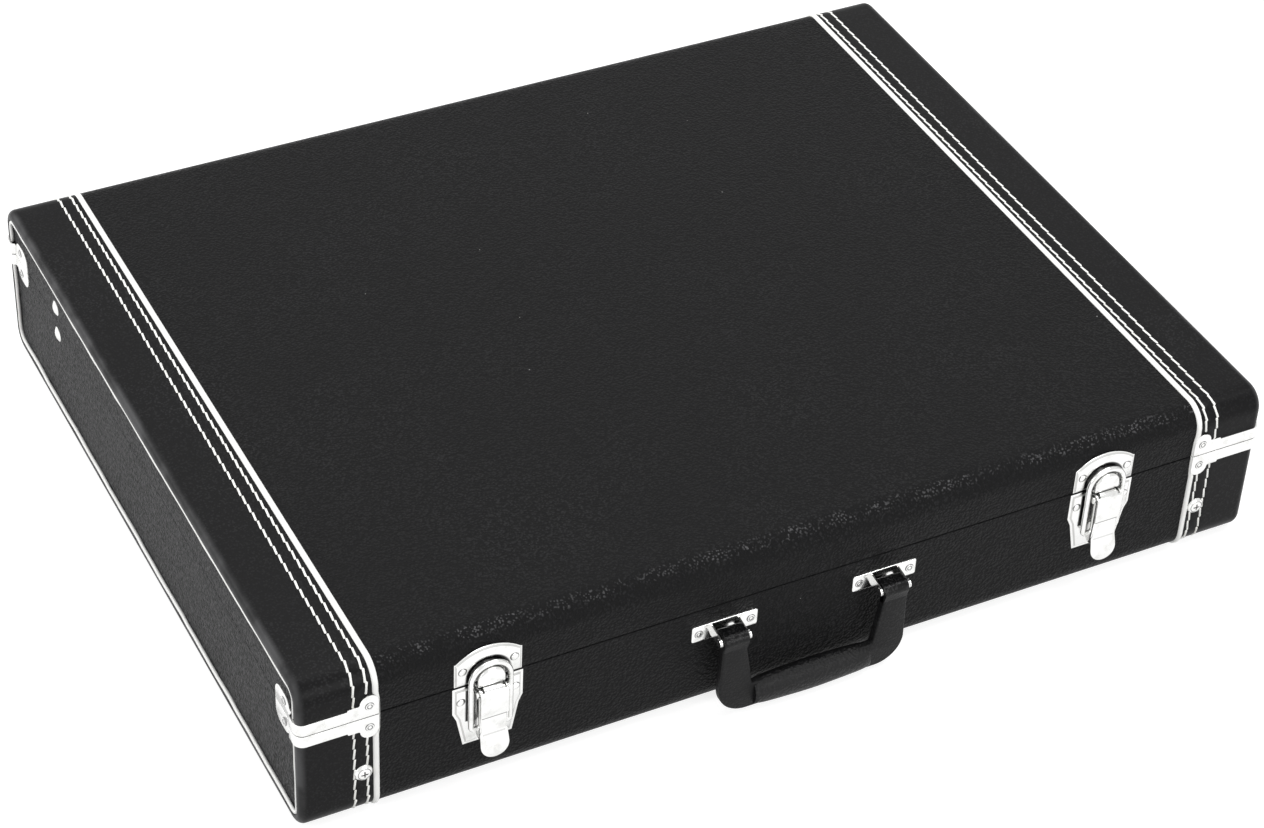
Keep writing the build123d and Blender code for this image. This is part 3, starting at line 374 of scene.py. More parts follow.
# Painted highlight: pale speckle on the end panels' crowns and in small patches.
PANEL_SPECKLE_HIGHLIGHT = (0.085, 0.085, 0.087)
panel_cloth = leathercloth("highlit_leathercloth", 1.3 * GRAIN_DEPTH, PANEL_SPECKLE_HIGHLIGHT, 0.50, 0.06)
pale_speckle = panel_cloth.ease(panel_cloth.cloud(panel_cloth.place(), 420, 4.0, 0.7), 0.42, 0.66, 0.0, 0.75)
panel_cloth.wear("Base Color", panel_cloth.shade(pale_speckle, panel_cloth.colour, PANEL_SPECKLE_HIGHLIGHT))
panel_cloth.paint("base_end_panels", "lid_end_panels")

underside = leathercloth("underside_cloth", 0.5 * GRAIN_DEPTH, BLACK_WORN, 0.6)
underside.paint("bottom_board")

# The end bands
# Smooth black leathercloth over a stiff core, wrapped round both ends of the base and the lid and
# folded over the end faces as a padded rim. Two sewn rows pull a shallow groove into each band.

SIDES = (-1, 1)
BAND_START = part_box("base_band_piping")[1].x
WOOD_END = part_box("base_front_wall")[1].x
RIM_FOLD_R = 5 * MM
RIM_INSET = 6.5 * MM
RIM_LIP_R = 1.0 * MM
STITCH_ROWS = (296.0 * MM, 304.5 * MM)
GROOVE_DEPTH = 0.35 * MM
GROOVE_HALF = 1.8 * MM
BAND_STEPS = 30


def groove(x):
    """The inset of a sewn groove at x."""
    nearest = min(abs(x - row) for row in STITCH_ROWS)
    return GROOVE_DEPTH * 0.5 * (1 + math.cos(math.pi * min(nearest / GROOVE_HALF, 1)))


def band_profile():
    """The band's section: out along its face, round the rim's fold, and back inside."""
    end = HALF_X - RIM_FOLD_R
    face = [BAND_START + (end - BAND_START) * step / BAND_STEPS for step in range(BAND_STEPS)]
    profile = [(x, groove(x)) for x in face]
    profile += arc((end, RIM_FOLD_R), RIM_FOLD_R, -90, 0, 8)
    lip = (HALF_X - RIM_LIP_R, RIM_INSET - RIM_LIP_R)
    profile += arc(lip, RIM_LIP_R, 0, 90, 4)
    profile += [(WOOD_END, RIM_INSET), (WOOD_END, WRAP_T), (BAND_START, WRAP_T)]
    return profile


# Painted sheen: a paler, patchy band along the fold of each end rim.
RIM_SHEEN = (0.070, 0.070, 0.072)
band_cloth = leathercloth("smooth_leathercloth", 0.05 * GRAIN_DEPTH, BLACK_WORN, 0.40, 0.10)
fold = band_cloth.ease(abs(band_cloth.along("X")), HALF_X - 1.15 * RIM_FOLD_R, HALF_X - 0.15 * RIM_FOLD_R)
fold = fold * band_cloth.ease(band_cloth.cloud(band_cloth.place(), 30, 3.0), 0.36, 0.62, 0.25, 1.0)
band_cloth.wear("Base Color", band_cloth.shade(fold, band_cloth.colour, RIM_SHEEN))
for part, upper, edge in HALVES:
    bands = bmesh.new()
    for side in SIDES:
        round_the_case(bands, [(side * x, inset) for x, inset in band_profile()])
    if not upper:
        tuck_under_board(bands)
    keep_side(bands, edge, upper, TURN_IN_R)
    make_piece(f"{part}_end_bands", bands, band_cloth, part, (f"{part}_bands",), 50)

# The stitching
# Thick white thread in two rows round each band. Each stitch lies a little aslant, so that the row
# looks twisted, and it dives into the cloth at both ends.

STITCH_PITCH = 8.5 * MM
STITCH_REACH = {STITCH_ROWS[0]: 4.55 * MM, STITCH_ROWS[1]: 4.3 * MM}
THREAD_R = 0.90 * MM
STITCH_SINK = 0.30 * MM
STITCH_SLANT = 6.5
STRIP_TOP = {STITCH_ROWS[0]: 16.5 * MM, STITCH_ROWS[1]: 10 * MM}
UNDER_STRIP = 2 * MM
LOWEST_STITCH = 1 * MM
THREAD_WHITE = (0.93, 0.93, 0.90)
THREAD_DIRTY = (0.70, 0.68, 0.63)
THREAD_FUZZ = 0.12 * MM

thread = Finish("white_thread", roughness=0.75)
thread_soil = thread.ease(thread.cloud(thread.place(), 60, 3.0), 0.5, 0.75)
thread.wear("Base Color", thread.shade(thread_soil * 0.6, THREAD_WHITE, THREAD_DIRTY))
thread.relief(thread.cloud(thread.place(), 2200, 2.0), THREAD_FUZZ)


def on_the_case(distance):
    """The place and outward direction on the case's section, that far round it from the front's foot."""
    foot, top, back = CORNER_R, TOP_Z - CORNER_R, HALF_Y - CORNER_R
    quarter = math.pi / 2 * CORNER_R
    stretches = [
        ((-HALF_Y, foot), (0, 1), (-1, 0), top - foot, (-back, top)),
        ((-back, TOP_Z), (1, 0), (0, 1), 2 * back, (back, top)),
        ((HALF_Y, top), (0, -1), (1, 0), top - foot, (back, foot)),
        ((back, 0), (-1, 0), (0, -1), 2 * back, (-back, foot)),
    ]
    for start, way, outward, length, centre in stretches:
        if distance < length:
            return (start[0] + way[0] * distance, start[1] + way[1] * distance), outward
        distance -= length
        if distance < quarter:
            a = distance / CORNER_R
            out = [outward[i] * math.cos(a) + way[i] * math.sin(a) for i in (0, 1)]
            return (centre[0] + CORNER_R * out[0], centre[1] + CORNER_R * out[1]), out
        distance -= quarter
    return (-HALF_Y, foot), (-1, 0)


def stitch_shape(reach):
    """One blunt stitch along local Y that dives into the cloth at both ends."""
    bm = bmesh.new()
    bmesh.ops.create_uvsphere(bm, u_segments=8, v_segments=7, radius=THREAD_R)
    bmesh.ops.rotate(bm, verts=bm.verts, matrix=Matrix.Rotation(math.pi / 2, 3, "X"))
    for vert in bm.verts:
        vert.co.y += math.copysign(reach - THREAD_R, vert.co.y)
        vert.co.z -= STITCH_SINK * (vert.co.y / reach) ** 4
    return mesh_of("stitch", bm)


def stamp(bm, mesh, placed):
    """Adds a copy of a mesh, placed by a matrix."""
    mesh.transform(placed)
    bm.from_mesh(mesh)
    mesh.transform(placed.inverted())


ROUND_CASE = 2 * (TOP_Z - 2 * CORNER_R) + 4 * (HALF_Y - CORNER_R) + 2 * math.pi * CORNER_R
stitch_count = round(ROUND_CASE / STITCH_PITCH)
stitches = {"base": bmesh.new(), "lid": bmesh.new()}
for row in STITCH_ROWS:
    one_stitch = stitch_shape(STITCH_REACH[row])
    for number in range(stitch_count):
        (y, z), (out_y, out_z) = on_the_case((number + 0.5) * ROUND_CASE / stitch_count)
        covered = abs(out_y) > 0.99 and abs(z - PARTING) < STRIP_TOP[row] - UNDER_STRIP
        if covered or z < LOWEST_STITCH:
            continue
        for side in SIDES:
            sink = GROOVE_DEPTH + HAIR
            middle = Vector((side * row, y - out_y * sink, z - out_z * sink))
            turned = Matrix(((1, 0, 0), (0, out_z, out_y), (0, -out_y, out_z))).to_4x4()
            slant = Matrix.Rotation(math.radians(STITCH_SLANT * side), 4, "Z")
            placed = Matrix.Translation(middle) @ turned @ slant
            stamp(stitches["lid" if z > PARTING else "base"], one_stitch, placed)
    bpy.data.meshes.remove(one_stitch)
for part, rows in stitches.items():
    make_piece(f"{part}_stitching", rows, thread, part, sharp=180)

# The piping
# White vinyl piping: a flat bead between the grained cover and each band, and a thin one that is
# pressed into the foot of the end rims, where it wanders a little.

VINYL_WHITE = (0.94, 0.94, 0.92)
VINYL_SOILED = (0.72, 0.70, 0.65)
VINYL_RELIEF = 0.08 * MM
RIM_BEAD_R = 1.3 * MM
RIM_BEAD_INSET = RIM_INSET + RIM_BEAD_R
PANEL_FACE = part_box("base_end_panels")[1].x
RIM_WANDER = 0.55 * MM
STRIP_ROOM = 8.9 * MM

vinyl = Finish("white_vinyl", roughness=0.38)
soil = vinyl.ease(vinyl.cloud(vinyl.place(), 45, 4.0, 0.65), 0.52, 0.8)
vinyl.wear("Base Color", vinyl.shade(soil * 0.55, VINYL_WHITE, VINYL_SOILED))
vinyl.wear("Roughness", 0.34 + 0.2 * soil)
vinyl.relief(vinyl.cloud(vinyl.place(), 420, 3.0), VINYL_RELIEF)

PIPING_R = 2.05 * MM
PIPING_X = (COVER_END + BAND_START) / 2
PIPING_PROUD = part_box("lid_band_piping")[1].z - TOP_Z
STRIP_T = 1.2 * MM
FRONT_ARM = 51.5 * MM
TAB_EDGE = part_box("base_corner_strips")[1].x - STRIP_T - FRONT_ARM
TAB_REACH = 16.8 * MM
TAB_CORNER_R = 6 * MM
BULGE = 0.9 * MM


def beside_tab(x, height):
    """Where the bead's point at x goes, that high from the parting, pressed aside by the strip's tab."""
    if height > TAB_REACH:
        return x
    rounding = max(height - TAB_REACH + TAB_CORNER_R, 0)
    edge = TAB_EDGE + TAB_CORNER_R - math.sqrt(TAB_CORNER_R ** 2 - rounding ** 2)
    moved = x - BULGE * (1 - (height / TAB_REACH) ** 4)
    return min(moved, edge - HAIR)


for part, upper, edge in HALVES:
    bead = bmesh.new()
    for side in SIDES:
        centre = (PIPING_X, PIPING_R - PIPING_PROUD)
        outline = [(side * x, inset) for x, inset in arc(centre, PIPING_R, 0, 337.5, 15)]
        round_the_case(bead, outline, 4 * RUN_STEPS)
    for vert in bead.verts:
        x, y, z = vert.co
        if abs(y) > HALF_Y - 2 * PIPING_R:
            vert.co.x = math.copysign(beside_tab(abs(x), abs(z - PARTING)), x)
        if z < CORNER_R:
            vert.co.z = max(z, WRAP_T if abs(y) < BOARD_Y - HAIR else 0)
    keep_side(bead, edge, upper)
    make_piece(f"{part}_piping_bead", bead, vinyl, part, (f"{part}_band_piping",), 180)

noise.seed_set(1)
for part, upper, *_ in HALVES:
    bead = bmesh.new()
    for side in SIDES:
        centre = (side * (PANEL_FACE + RIM_BEAD_R * 0.9), RIM_BEAD_INSET)
        round_the_case(bead, arc(centre, RIM_BEAD_R, 0, 315, 7))
    for vert in bead.verts:
        quick, slow = noise.noise_vector(vert.co * 70), noise.noise_vector(vert.co * 25)
        vert.co += RIM_WANDER * (quick * 0.6 + slow * 0.5)
    keep_side(bead, PARTING + STRIP_ROOM if upper else PARTING - STRIP_ROOM, upper)
    make_piece(f"{part}_rim_bead", bead, vinyl, part, (f"{part}_rim_piping",), 180)

# Plated metal
# Bright nickel on pressed steel, with fine rubbing marks and a few dull smears.

NICKEL = (0.80, 0.80, 0.79)
NICKEL_DULL = (0.60, 0.60, 0.58)
# The black of painted shade, in crevices and round the latch bails.
SHADE_BLACK = (0.030, 0.030, 0.030)
SCRATCH_DEPTH = 0.012 * MM


def plated(name, bright, dull, roughness, shade_mask=None):
    """Plated steel with smears and faint scratches, and black painted shade where a mask says."""
    metal = Finish(name, metallic=1.0)
    smear = metal.ease(metal.cloud(metal.place(), 90, 4.0, 0.6), 0.48, 0.75)
    rubbed = metal.cloud(metal.place((900, 900, 90)), 1.0, 4.0, 0.7)
    colour = metal.shade(smear * 0.7, bright, dull)
    if shade_mask:
        colour = metal.shade(shade_mask(metal), colour, SHADE_BLACK)
    metal.wear("Base Color", colour)
    metal.wear("Roughness", roughness + 0.16 * smear + 0.10 * (rubbed - 0.5))
    metal.relief(rubbed, SCRATCH_DEPTH)
    return metal


nickel = plated("bright_nickel", NICKEL, NICKEL_DULL, 0.16)
nickel.paint("latch_pins", "handle_pins")
nickel.paint("hinge_base_leaves", "hinge_lid_leaves", "hinge_pins", "base_stay_rivets", "lid_stay_rivets")

# The band screws
# Oval-headed screws in dished washers, one low on each front band. Shade is painted black into the
# cross recess and round the head.

SCREW_X = 298.8 * MM
SCREW_Z = (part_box("band_screws")[0].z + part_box("band_screws")[1].z) / 2
SCREW_HEAD_R = 4.1 * MM
RECESS_LONG = 2.2 * MM
RECESS_HALF = 0.45 * MM
SEAM_DARK, SEAM_END = 0.16 * MM, 0.34 * MM


def screw_recess_shade(metal):
    """Painted shade in the cross recess and in the seam round the head."""
    u, v = abs(abs(metal.along("X")) - SCREW_X), abs(metal.along("Z") - SCREW_Z)
    cross = (u < RECESS_LONG) * (v < RECESS_HALF) + (v < RECESS_LONG) * (u < RECESS_HALF)
    seam = abs((u * u + v * v).root() - SCREW_HEAD_R)
    return cross + metal.ease(seam, SEAM_DARK, SEAM_END, 0.75, 0.0)


# Nickel with shade painted into the screws' recesses.
screw_nickel = plated("screw_nickel", NICKEL, NICKEL_DULL, 0.2, screw_recess_shade)
screw_nickel.paint("cup_washers", "band_screws")

# The rivet heads
# Split rivets closed from inside. Their heads are nearly flat, with a ring pressed in by the setting
# tool; those of the latches are a little more domed. Shade is painted dark into the ring and round
# each head's foot.

RIVET_HEAD_H = 1.4 * MM
LATCH_ZONE = (190 * MM, 245 * MM)
CAD_WELD = 0.02 * MM
SET_RING = (1.2 * MM, 1.8 * MM)
HEAD_RIM = 2.6 * MM
# Painted shade for the rivet heads' rings and feet.
RING_SHADE, RING_SHADE_DARK = (0.22, 0.22, 0.22), (0.08, 0.08, 0.08)


def rivet_places(node):
    """Each rivet in a CAD node: the middle of its head's foot, and the way the head looks."""
    bm = bmesh.new()
    bm.from_mesh(cad[node].data)
    bmesh.ops.remove_doubles(bm, verts=bm.verts, dist=CAD_WELD)
    left = set(bm.verts)
    places = []
    while left:
        island, edge_of_island = [], [left.pop()]
        while edge_of_island:
            vert = edge_of_island.pop()
            island.append(vert.co.copy())
            near = {edge.other_vert(vert) for edge in vert.link_edges} & left
            left -= near
            edge_of_island += near
        low = Vector([min(point[axis] for point in island) for axis in range(3)])
        high = Vector([max(point[axis] for point in island) for axis in range(3)])
        axis = max(range(3), key=lambda way: high[way] - low[way])
        middle = (low + high) / 2
        outward = Vector((0, 0, 0))
        outward[axis] = math.copysign(1, middle[axis])
        middle[axis] = (high if middle[axis] > 0 else low)[axis] - outward[axis] * RIVET_HEAD_H
        places.append((middle, outward))
    bm.free()
    return sorted(places, key=lambda place: tuple(place[0]))


def rivet_head(profile, ring):
    """Turns a half section of (radius, height) points in mm round; its ring and rim get painted shade."""
    bm = bmesh.new()
    chain = [bm.verts.new((radius * MM, 0, height * MM)) for radius, height in profile]
    edges = [bm.edges.new(pair) for pair in zip(chain, chain[1:])]
    bmesh.ops.spin(
        bm, geom=chain + edges, cent=(0, 0, 0), axis=(0, 0, 1), angle=2 * math.pi, steps=24, use_merge=True,
        use_normal_flip=False, use_duplicate=False,
    )
    bmesh.ops.remove_doubles(bm, verts=bm.verts, dist=WELD)
    head = mesh_of("head", bm)
    for face in head.polygons:
        spread = face.center.xy.length
        face.material_index = int(ring[0] < spread < ring[1] or spread > HEAD_RIM)
    return head


flat_half = [(0, 0.55), (1.15, 0.55), (1.45, 0.32), (1.85, 0.62), (2.5, 0.5), (3.0, 0.0), (0, 0.0)]
domed_half = [(0, 1.1), (0.9, 1.04), (1.8, 0.8), (2.5, 0.45), (2.9, 0.1), (3.0, 0.0), (0, 0.0)]
flat_head, domed_head = rivet_head(flat_half, SET_RING), rivet_head(domed_half, (0, 0))
# A dark copy of the nickel: painted shade in the pressed rings and round the heads' feet.
rivet_shade_nickel = plated("rivet_shade_nickel", RING_SHADE, RING_SHADE_DARK, 0.35)
for part, *_ in HALVES:
    heads = bmesh.new()
    for middle, outward in rivet_places(f"{part}_rivets"):
        on_latch = LATCH_ZONE[0] < abs(middle.x) < LATCH_ZONE[1] and outward.y < 0
        head = domed_head if on_latch else flat_head
        turned = outward.to_track_quat("Z", "X").to_matrix().to_4x4()
        stamp(heads, head, Matrix.Translation(middle) @ turned)
    rivets = make_piece(f"{part}_rivet_heads", heads, nickel, part, (f"{part}_rivets",), 60)
    rivets.data.materials.append(rivet_shade_nickel.material)

# The corner strips
# Steel strips bent round the four upright corners along the parting, one half on the base and one on
# the lid. Each ends in a round-shouldered tab on the long face, and steps in to a lobe on the end panel.

STRIP_H = 8.6 * MM
SHOULDER_H = 10 * MM
TAB_H = 16.5 * MM
SHOULDER_AT = 31 * MM
TAB_AT = 39 * MM
END_STEP = 10.5 * MM
END_ARM = 32.8 * MM
LOBE_H = 14.6 * MM
CORNER_BEND_R = 5 * MM
JOGGLE = 2.5 * MM
JOGGLE_RUN = 2.0 * MM
TAB_ROUND = 6.0 * MM
TAB_END_ROUND = 6.0 * MM
LOBE_ROUND = 8.0 * MM
SHOULDER_R = 1.2 * MM
TAB_FOOT = 1 * MM
SHEET_EDGE = 0.35 * MM


def blank(outline, cuts_x=(), cuts_y=()):
    """A flat blank in the local XY plane, scored along the lines where it will bend."""
    bm = bmesh.new()
    bm.faces.new([bm.verts.new((x, y, 0)) for x, y in outline])
    bm.faces.ensure_lookup_table()
    for line in cuts_x:
        bmesh.ops.bisect_plane(bm, geom=whole(bm), plane_co=(line, 0, 0), plane_no=(1, 0, 0))
    for line in cuts_y:
        bmesh.ops.bisect_plane(bm, geom=whole(bm), plane_co=(0, line, 0), plane_no=(0, 1, 0))
    return bm


def thicken(bm, thickness, edge_round, segments=2):
    """Gives a blank its thickness along local Z and rounds its upper rim."""
    grown = bmesh.ops.extrude_face_region(bm, geom=bm.faces[:], use_keep_orig=True)["geom"]
    tops = [item for item in grown if isinstance(item, bmesh.types.BMVert)]
    bmesh.ops.translate(bm, verts=tops, vec=(0, 0, thickness))
    bmesh.ops.recalc_face_normals(bm, faces=bm.faces)
    crest = [e for e in bm.edges if all(v.co.z > thickness / 2 for v in e.verts) and e.calc_face_angle(0) > 1]
    round_edges(bm, crest, edge_round, segments)


def strip_outline():
    """The flat strip, from the tab's end at local x 0 to the lobe's end, its straight edge on y 0."""
    tab_end = FRONT_ARM - TAB_AT
    shoulder_end = FRONT_ARM - SHOULDER_AT
    lobe_start = FRONT_ARM + END_STEP + JOGGLE
    lobe_end = FRONT_ARM + END_ARM + JOGGLE
    outline = [(0, 0), (lobe_end, 0)]
    outline += arc((lobe_end - LOBE_ROUND, LOBE_H - LOBE_ROUND), LOBE_ROUND, 0, 90, 8)
    outline += arc((lobe_start + LOBE_ROUND, LOBE_H - LOBE_ROUND), LOBE_ROUND, 90, 180, 8)
    outline += [(lobe_start, STRIP_H), (shoulder_end, STRIP_H)]
    outline += arc((shoulder_end - SHOULDER_R, SHOULDER_H - SHOULDER_R), SHOULDER_R, 0, 90, 3)
    outline += [(tab_end + TAB_FOOT, SHOULDER_H)]
    outline += arc((tab_end - TAB_ROUND, TAB_H - TAB_ROUND), TAB_ROUND, 0, 90, 5)
    outline += arc((TAB_END_ROUND, TAB_H - TAB_END_ROUND), TAB_END_ROUND, 90, 180, 6)
    return outline


def bend_strip(flat):
    """Bends a point of the flat strip round the front left corner, as (x, y, height)."""
    s, up, out = flat
    corner = FRONT_ARM - CORNER_BEND_R
    quarter = math.pi / 2 * CORNER_BEND_R
    if s <= corner:
        return -(HALF_X - FRONT_ARM + s), -(HALF_Y + out), up
    if s <= corner + quarter:
        a = (s - corner) / CORNER_BEND_R
        reach = CORNER_BEND_R + out
        across, back = reach * math.sin(a), reach * math.cos(a)
        return -(HALF_X - CORNER_BEND_R + across), -(HALF_Y - CORNER_BEND_R + back), up
    run = s - corner - quarter
    step = min(max((run - (END_STEP - CORNER_BEND_R)) / JOGGLE_RUN, 0), 1)
    inward = JOGGLE * (1 - math.cos(math.pi * step)) / 2
    return -(HALF_X + out - inward), -(HALF_Y - CORNER_BEND_R - run), up


corner_cuts = [FRONT_ARM - CORNER_BEND_R + math.pi / 2 * CORNER_BEND_R * step / 8 for step in range(9)]
joggle_start = corner_cuts[-1] + END_STEP - CORNER_BEND_R
joggle_cuts = [joggle_start + JOGGLE_RUN * step / 6 for step in range(7)]
for part, upper, edge in HALVES:
    strips = bmesh.new()
    one = blank(strip_outline(), corner_cuts + joggle_cuts)
    thicken(one, STRIP_T, SHEET_EDGE, 3)
    flat_strip = mesh_of("flat_strip", one)
    away = 1 if upper else -1
    for side in SIDES:
        for face in SIDES:
            before = len(strips.verts)
            strips.from_mesh(flat_strip)
            strips.verts.ensure_lookup_table()
            for vert in strips.verts[before:]:
                x, y, up = bend_strip(vert.co)
                vert.co = (-side * x, -face * y, edge + away * up)
    bpy.data.meshes.remove(flat_strip)
    make_piece(f"{part}_corner_guards", strips, nickel, part, (f"{part}_corner_strips",), 38)

# The latches
# Pressed draw latches. The keeper on the lid has an arched top and a raised dome. The base plate has
# a raised field and ears for the lever, which ends in a round tongue. A wire bail turns on the lever
# and hooks over the dome.

HANDS = {"left": -1, "right": 1}
LATCH_X = 218 * MM
FACE_Y = -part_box("base_cover")[1].y
KEEPER_LOW, KEEPER_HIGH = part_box("keeper_left")[0].z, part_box("keeper_left")[1].z
KEEPER_HALF = 22.3 * MM
KEEPER_SIDE = PARTING + 19 * MM
PLATE_T = 1.5 * MM
FLANGE_T = 0.7 * MM
FIELD_SLOPE = 1.1 * MM
PRESSED_R = 0.2 * MM
DOME_R = 9.2 * MM
DOME_OUT = 7.5 * MM
DOME_Z = PARTING + 4.7 * MM
DOME_ROUND = 2 * MM

# Where shade and the bail's shadow are painted on the latches.
BAIL_PATH_R = 12.8 * MM
BAIL_SHADOW_HALF = 2.9 * MM
CREASE_Z = 61 * MM
BAIL_SHADOW_FOOT = CREASE_Z - 8 * MM
ON_PLATE = (2.2 * MM, 3.2 * MM)
IN_LEVER = (3.5 * MM, 6.5 * MM)
ON_LEVER = (8 * MM, 9 * MM)
CREASE_DROP = 0.6 * MM
CREASE_LINE = (0.45 * MM, 0.9 * MM)
NECK_LINE = (0.2 * MM, 0.9 * MM)
NECK_Z = 46 * MM
LEVER_HALF = 9.2 * MM


def on_latch(metal):
    """A place on either latch: across from its middle, up, and out from the case."""
    return abs(abs(metal.along("X")) - LATCH_X), metal.along("Z"), FACE_Y - metal.along("Y")


def bail_shadow_on_plates(metal):
    """Painted shadow that the bail casts on the plates under it."""
    u, v, out = on_latch(metal)
    above = v.maths("MAXIMUM", v - DOME_Z, 0.0)
    path = abs((u * u + above * above).root() - BAIL_PATH_R)
    wire = metal.ease(path, 0.55 * BAIL_SHADOW_HALF, BAIL_SHADOW_HALF, 1.0, 0.0)
    return wire * metal.ease(out, *ON_PLATE, 1.0, 0.0) * (v > BAIL_SHADOW_FOOT)


def lever_painted_shade(metal):
    """Painted shade on the lever's inner faces, and dark lines painted along its crease and neck."""
    u, v, out = on_latch(metal)
    inward = metal.ease(out, *IN_LEVER, 0.85, 0.0) * (u < LEVER_HALF + 0.3 * MM)
    inward = inward * (v > NECK_Z)
    on_face = metal.ease(out, *ON_LEVER)
    below = abs(v - CREASE_Z + CREASE_DROP)
    crease = metal.ease(below, *CREASE_LINE, 1.0, 0.0) * (u < LEVER_HALF - 1 * MM)
    neck = metal.ease(abs(v - NECK_Z), *NECK_LINE, 0.25, 0.0) * (u < 7.5 * MM)
    return inward + on_face * (crease + neck)


# The plates carry the bail's painted shadow, the lever painted shade on its inner faces and creases.
latch_nickel = plated("latch_nickel", NICKEL, NICKEL_DULL, 0.16, bail_shadow_on_plates)
lever_nickel = plated("lever_nickel", NICKEL, NICKEL_DULL, 0.16, lever_painted_shade)


def facing_front(bm, x):
    """Stands a plate that was drawn flat, x across and y up, on the front face of the case."""
    for vert in bm.verts:
        across, up, out = vert.co
        vert.co = (x + across, FACE_Y - out, up)


def arch(half_width, foot, rise, steps=14):
    """Points of a shallow arch from right to left over a foot height."""
    radius = (half_width ** 2 + rise ** 2) / (2 * rise)
    spread = math.degrees(math.asin(half_width / radius))
    return arc((0, foot + rise - radius), radius, 90 - spread, 90 + spread, steps)


def raised_plate(outline, border, slope):
    """A plate whose middle field stands proud of a narrow border."""
    bm = blank(outline)
    face = bm.faces[0]
    if face.normal.z < 0:
        face.normal_flip()
    grown = bmesh.ops.extrude_face_region(bm, geom=[face], use_keep_orig=True)["geom"]
    tops = [item for item in grown if isinstance(item, bmesh.types.BMVert)]
    bmesh.ops.translate(bm, verts=tops, vec=(0, 0, FLANGE_T))
    field = [item for item in grown if isinstance(item, bmesh.types.BMFace)]
    bmesh.ops.inset_region(bm, faces=field, thickness=border, use_even_offset=True)
    rise = PLATE_T - FLANGE_T
    raised = bmesh.ops.inset_region(bm, faces=field, thickness=slope, depth=rise, use_even_offset=True)
    # The slope round the field takes a second slot: a darker copy of the nickel, as painted shade.
    for face in raised["faces"]:
        face.material_index = 1
    bmesh.ops.recalc_face_normals(bm, faces=bm.faces)
    steep = [e for e in bm.edges if e.calc_face_angle(0) > 1.2]
    round_edges(bm, [e for e in steep if max(v.co.z for v in e.verts) > FLANGE_T / 2], PRESSED_R)
    return bm


def join(bm, part):
    """Moves everything in one bmesh into another."""
    mesh = mesh_of("part", part)
    bm.from_mesh(mesh)
    bpy.data.meshes.remove(mesh)


KEEPER_SHOULDER = 0.9 * MM
KEEPER_BORDER = 0.5 * MM
# Painted shade: a darker copy of the nickel on the slope round each pressed field.
SLOPE_SHADE, SLOPE_SHADE_DARK = (0.52, 0.52, 0.51), (0.40, 0.40, 0.39)
slope_shade_nickel = plated("slope_shade_nickel", SLOPE_SHADE, SLOPE_SHADE_DARK, 0.3)

for hand, side in HANDS.items():
    outline = [(-KEEPER_HALF, KEEPER_LOW), (KEEPER_HALF, KEEPER_LOW), (KEEPER_HALF, KEEPER_SIDE)]
    outline += arch(KEEPER_HALF - KEEPER_SHOULDER, KEEPER_SIDE, KEEPER_HIGH - KEEPER_SIDE)
    outline += [(-KEEPER_HALF, KEEPER_SIDE)]
    plate = raised_plate(outline, KEEPER_BORDER, FIELD_SLOPE)
    dome = blank([(DOME_R, KEEPER_LOW)] + arc((0, DOME_Z), DOME_R, 0, 180, 20) + [(-DOME_R, KEEPER_LOW)])
    thicken(dome, DOME_OUT, DOME_ROUND, 5)
    join(plate, dome)
    facing_front(plate, side * LATCH_X)
    keeper = make_piece(f"keeper_pressing_{hand}", plate, latch_nickel, "lid", (f"keeper_{hand}",))
    keeper.data.materials.append(slope_shade_nickel.material)

BASE_PLATE_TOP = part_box("latch_plate_left")[1].z
BASE_PLATE_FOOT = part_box("latch_plate_left")[0].z
BASE_PLATE_HALF = 23.3 * MM
BASE_WAIST_HALF = 20.6 * MM
BASE_FOOT_HALF = 16.4 * MM
BASE_SHOULDER_Z = 61 * MM
BASE_WAIST_Z = 55 * MM
BASE_BORDER = 1.6 * MM
PIVOT_OUT = 7 * MM
PIVOT_Z = 78 * MM
EAR_X = 7.25 * MM
EAR_T = 1.5 * MM
EAR_R = 2.7 * MM
EAR_SHOULDER = 1.2 * MM


def ear(bm, x, out, height, radius, thickness, low, high):
    """Adds a round-ended ear that stands out of a plate, drawn with x across, y up and z out."""
    last = 180 - math.degrees(math.asin(high / radius)) if high < radius else 90
    outline = [(0, -low)] + arc((out, 0), radius, -90, last, 12) + [(0, high)]
    flap = blank(outline)
    thicken(flap, thickness, PRESSED_R)
    for vert in flap.verts:
        stand, up, across = vert.co
        vert.co = (x - thickness / 2 + across, height + up, stand)
    join(bm, flap)


for hand, side in HANDS.items():
    half = [
        (BASE_PLATE_HALF, BASE_PLATE_TOP),
        (BASE_PLATE_HALF, BASE_SHOULDER_Z),
        (BASE_WAIST_HALF, BASE_WAIST_Z),
        (BASE_FOOT_HALF, BASE_PLATE_FOOT),
    ]
    plate = raised_plate([(-x, z) for x, z in half] + half[::-1], BASE_BORDER, FIELD_SLOPE)
    for end in SIDES:
        ear(plate, end * EAR_X, PIVOT_OUT, PIVOT_Z, EAR_R, EAR_T, EAR_R, EAR_SHOULDER)
    facing_front(plate, side * LATCH_X)
    replaced = (f"latch_plate_{hand}",)
    latch_base = make_piece(f"latch_base_{hand}", plate, latch_nickel, "base", replaced)
    latch_base.data.materials.append(slope_shade_nickel.material)

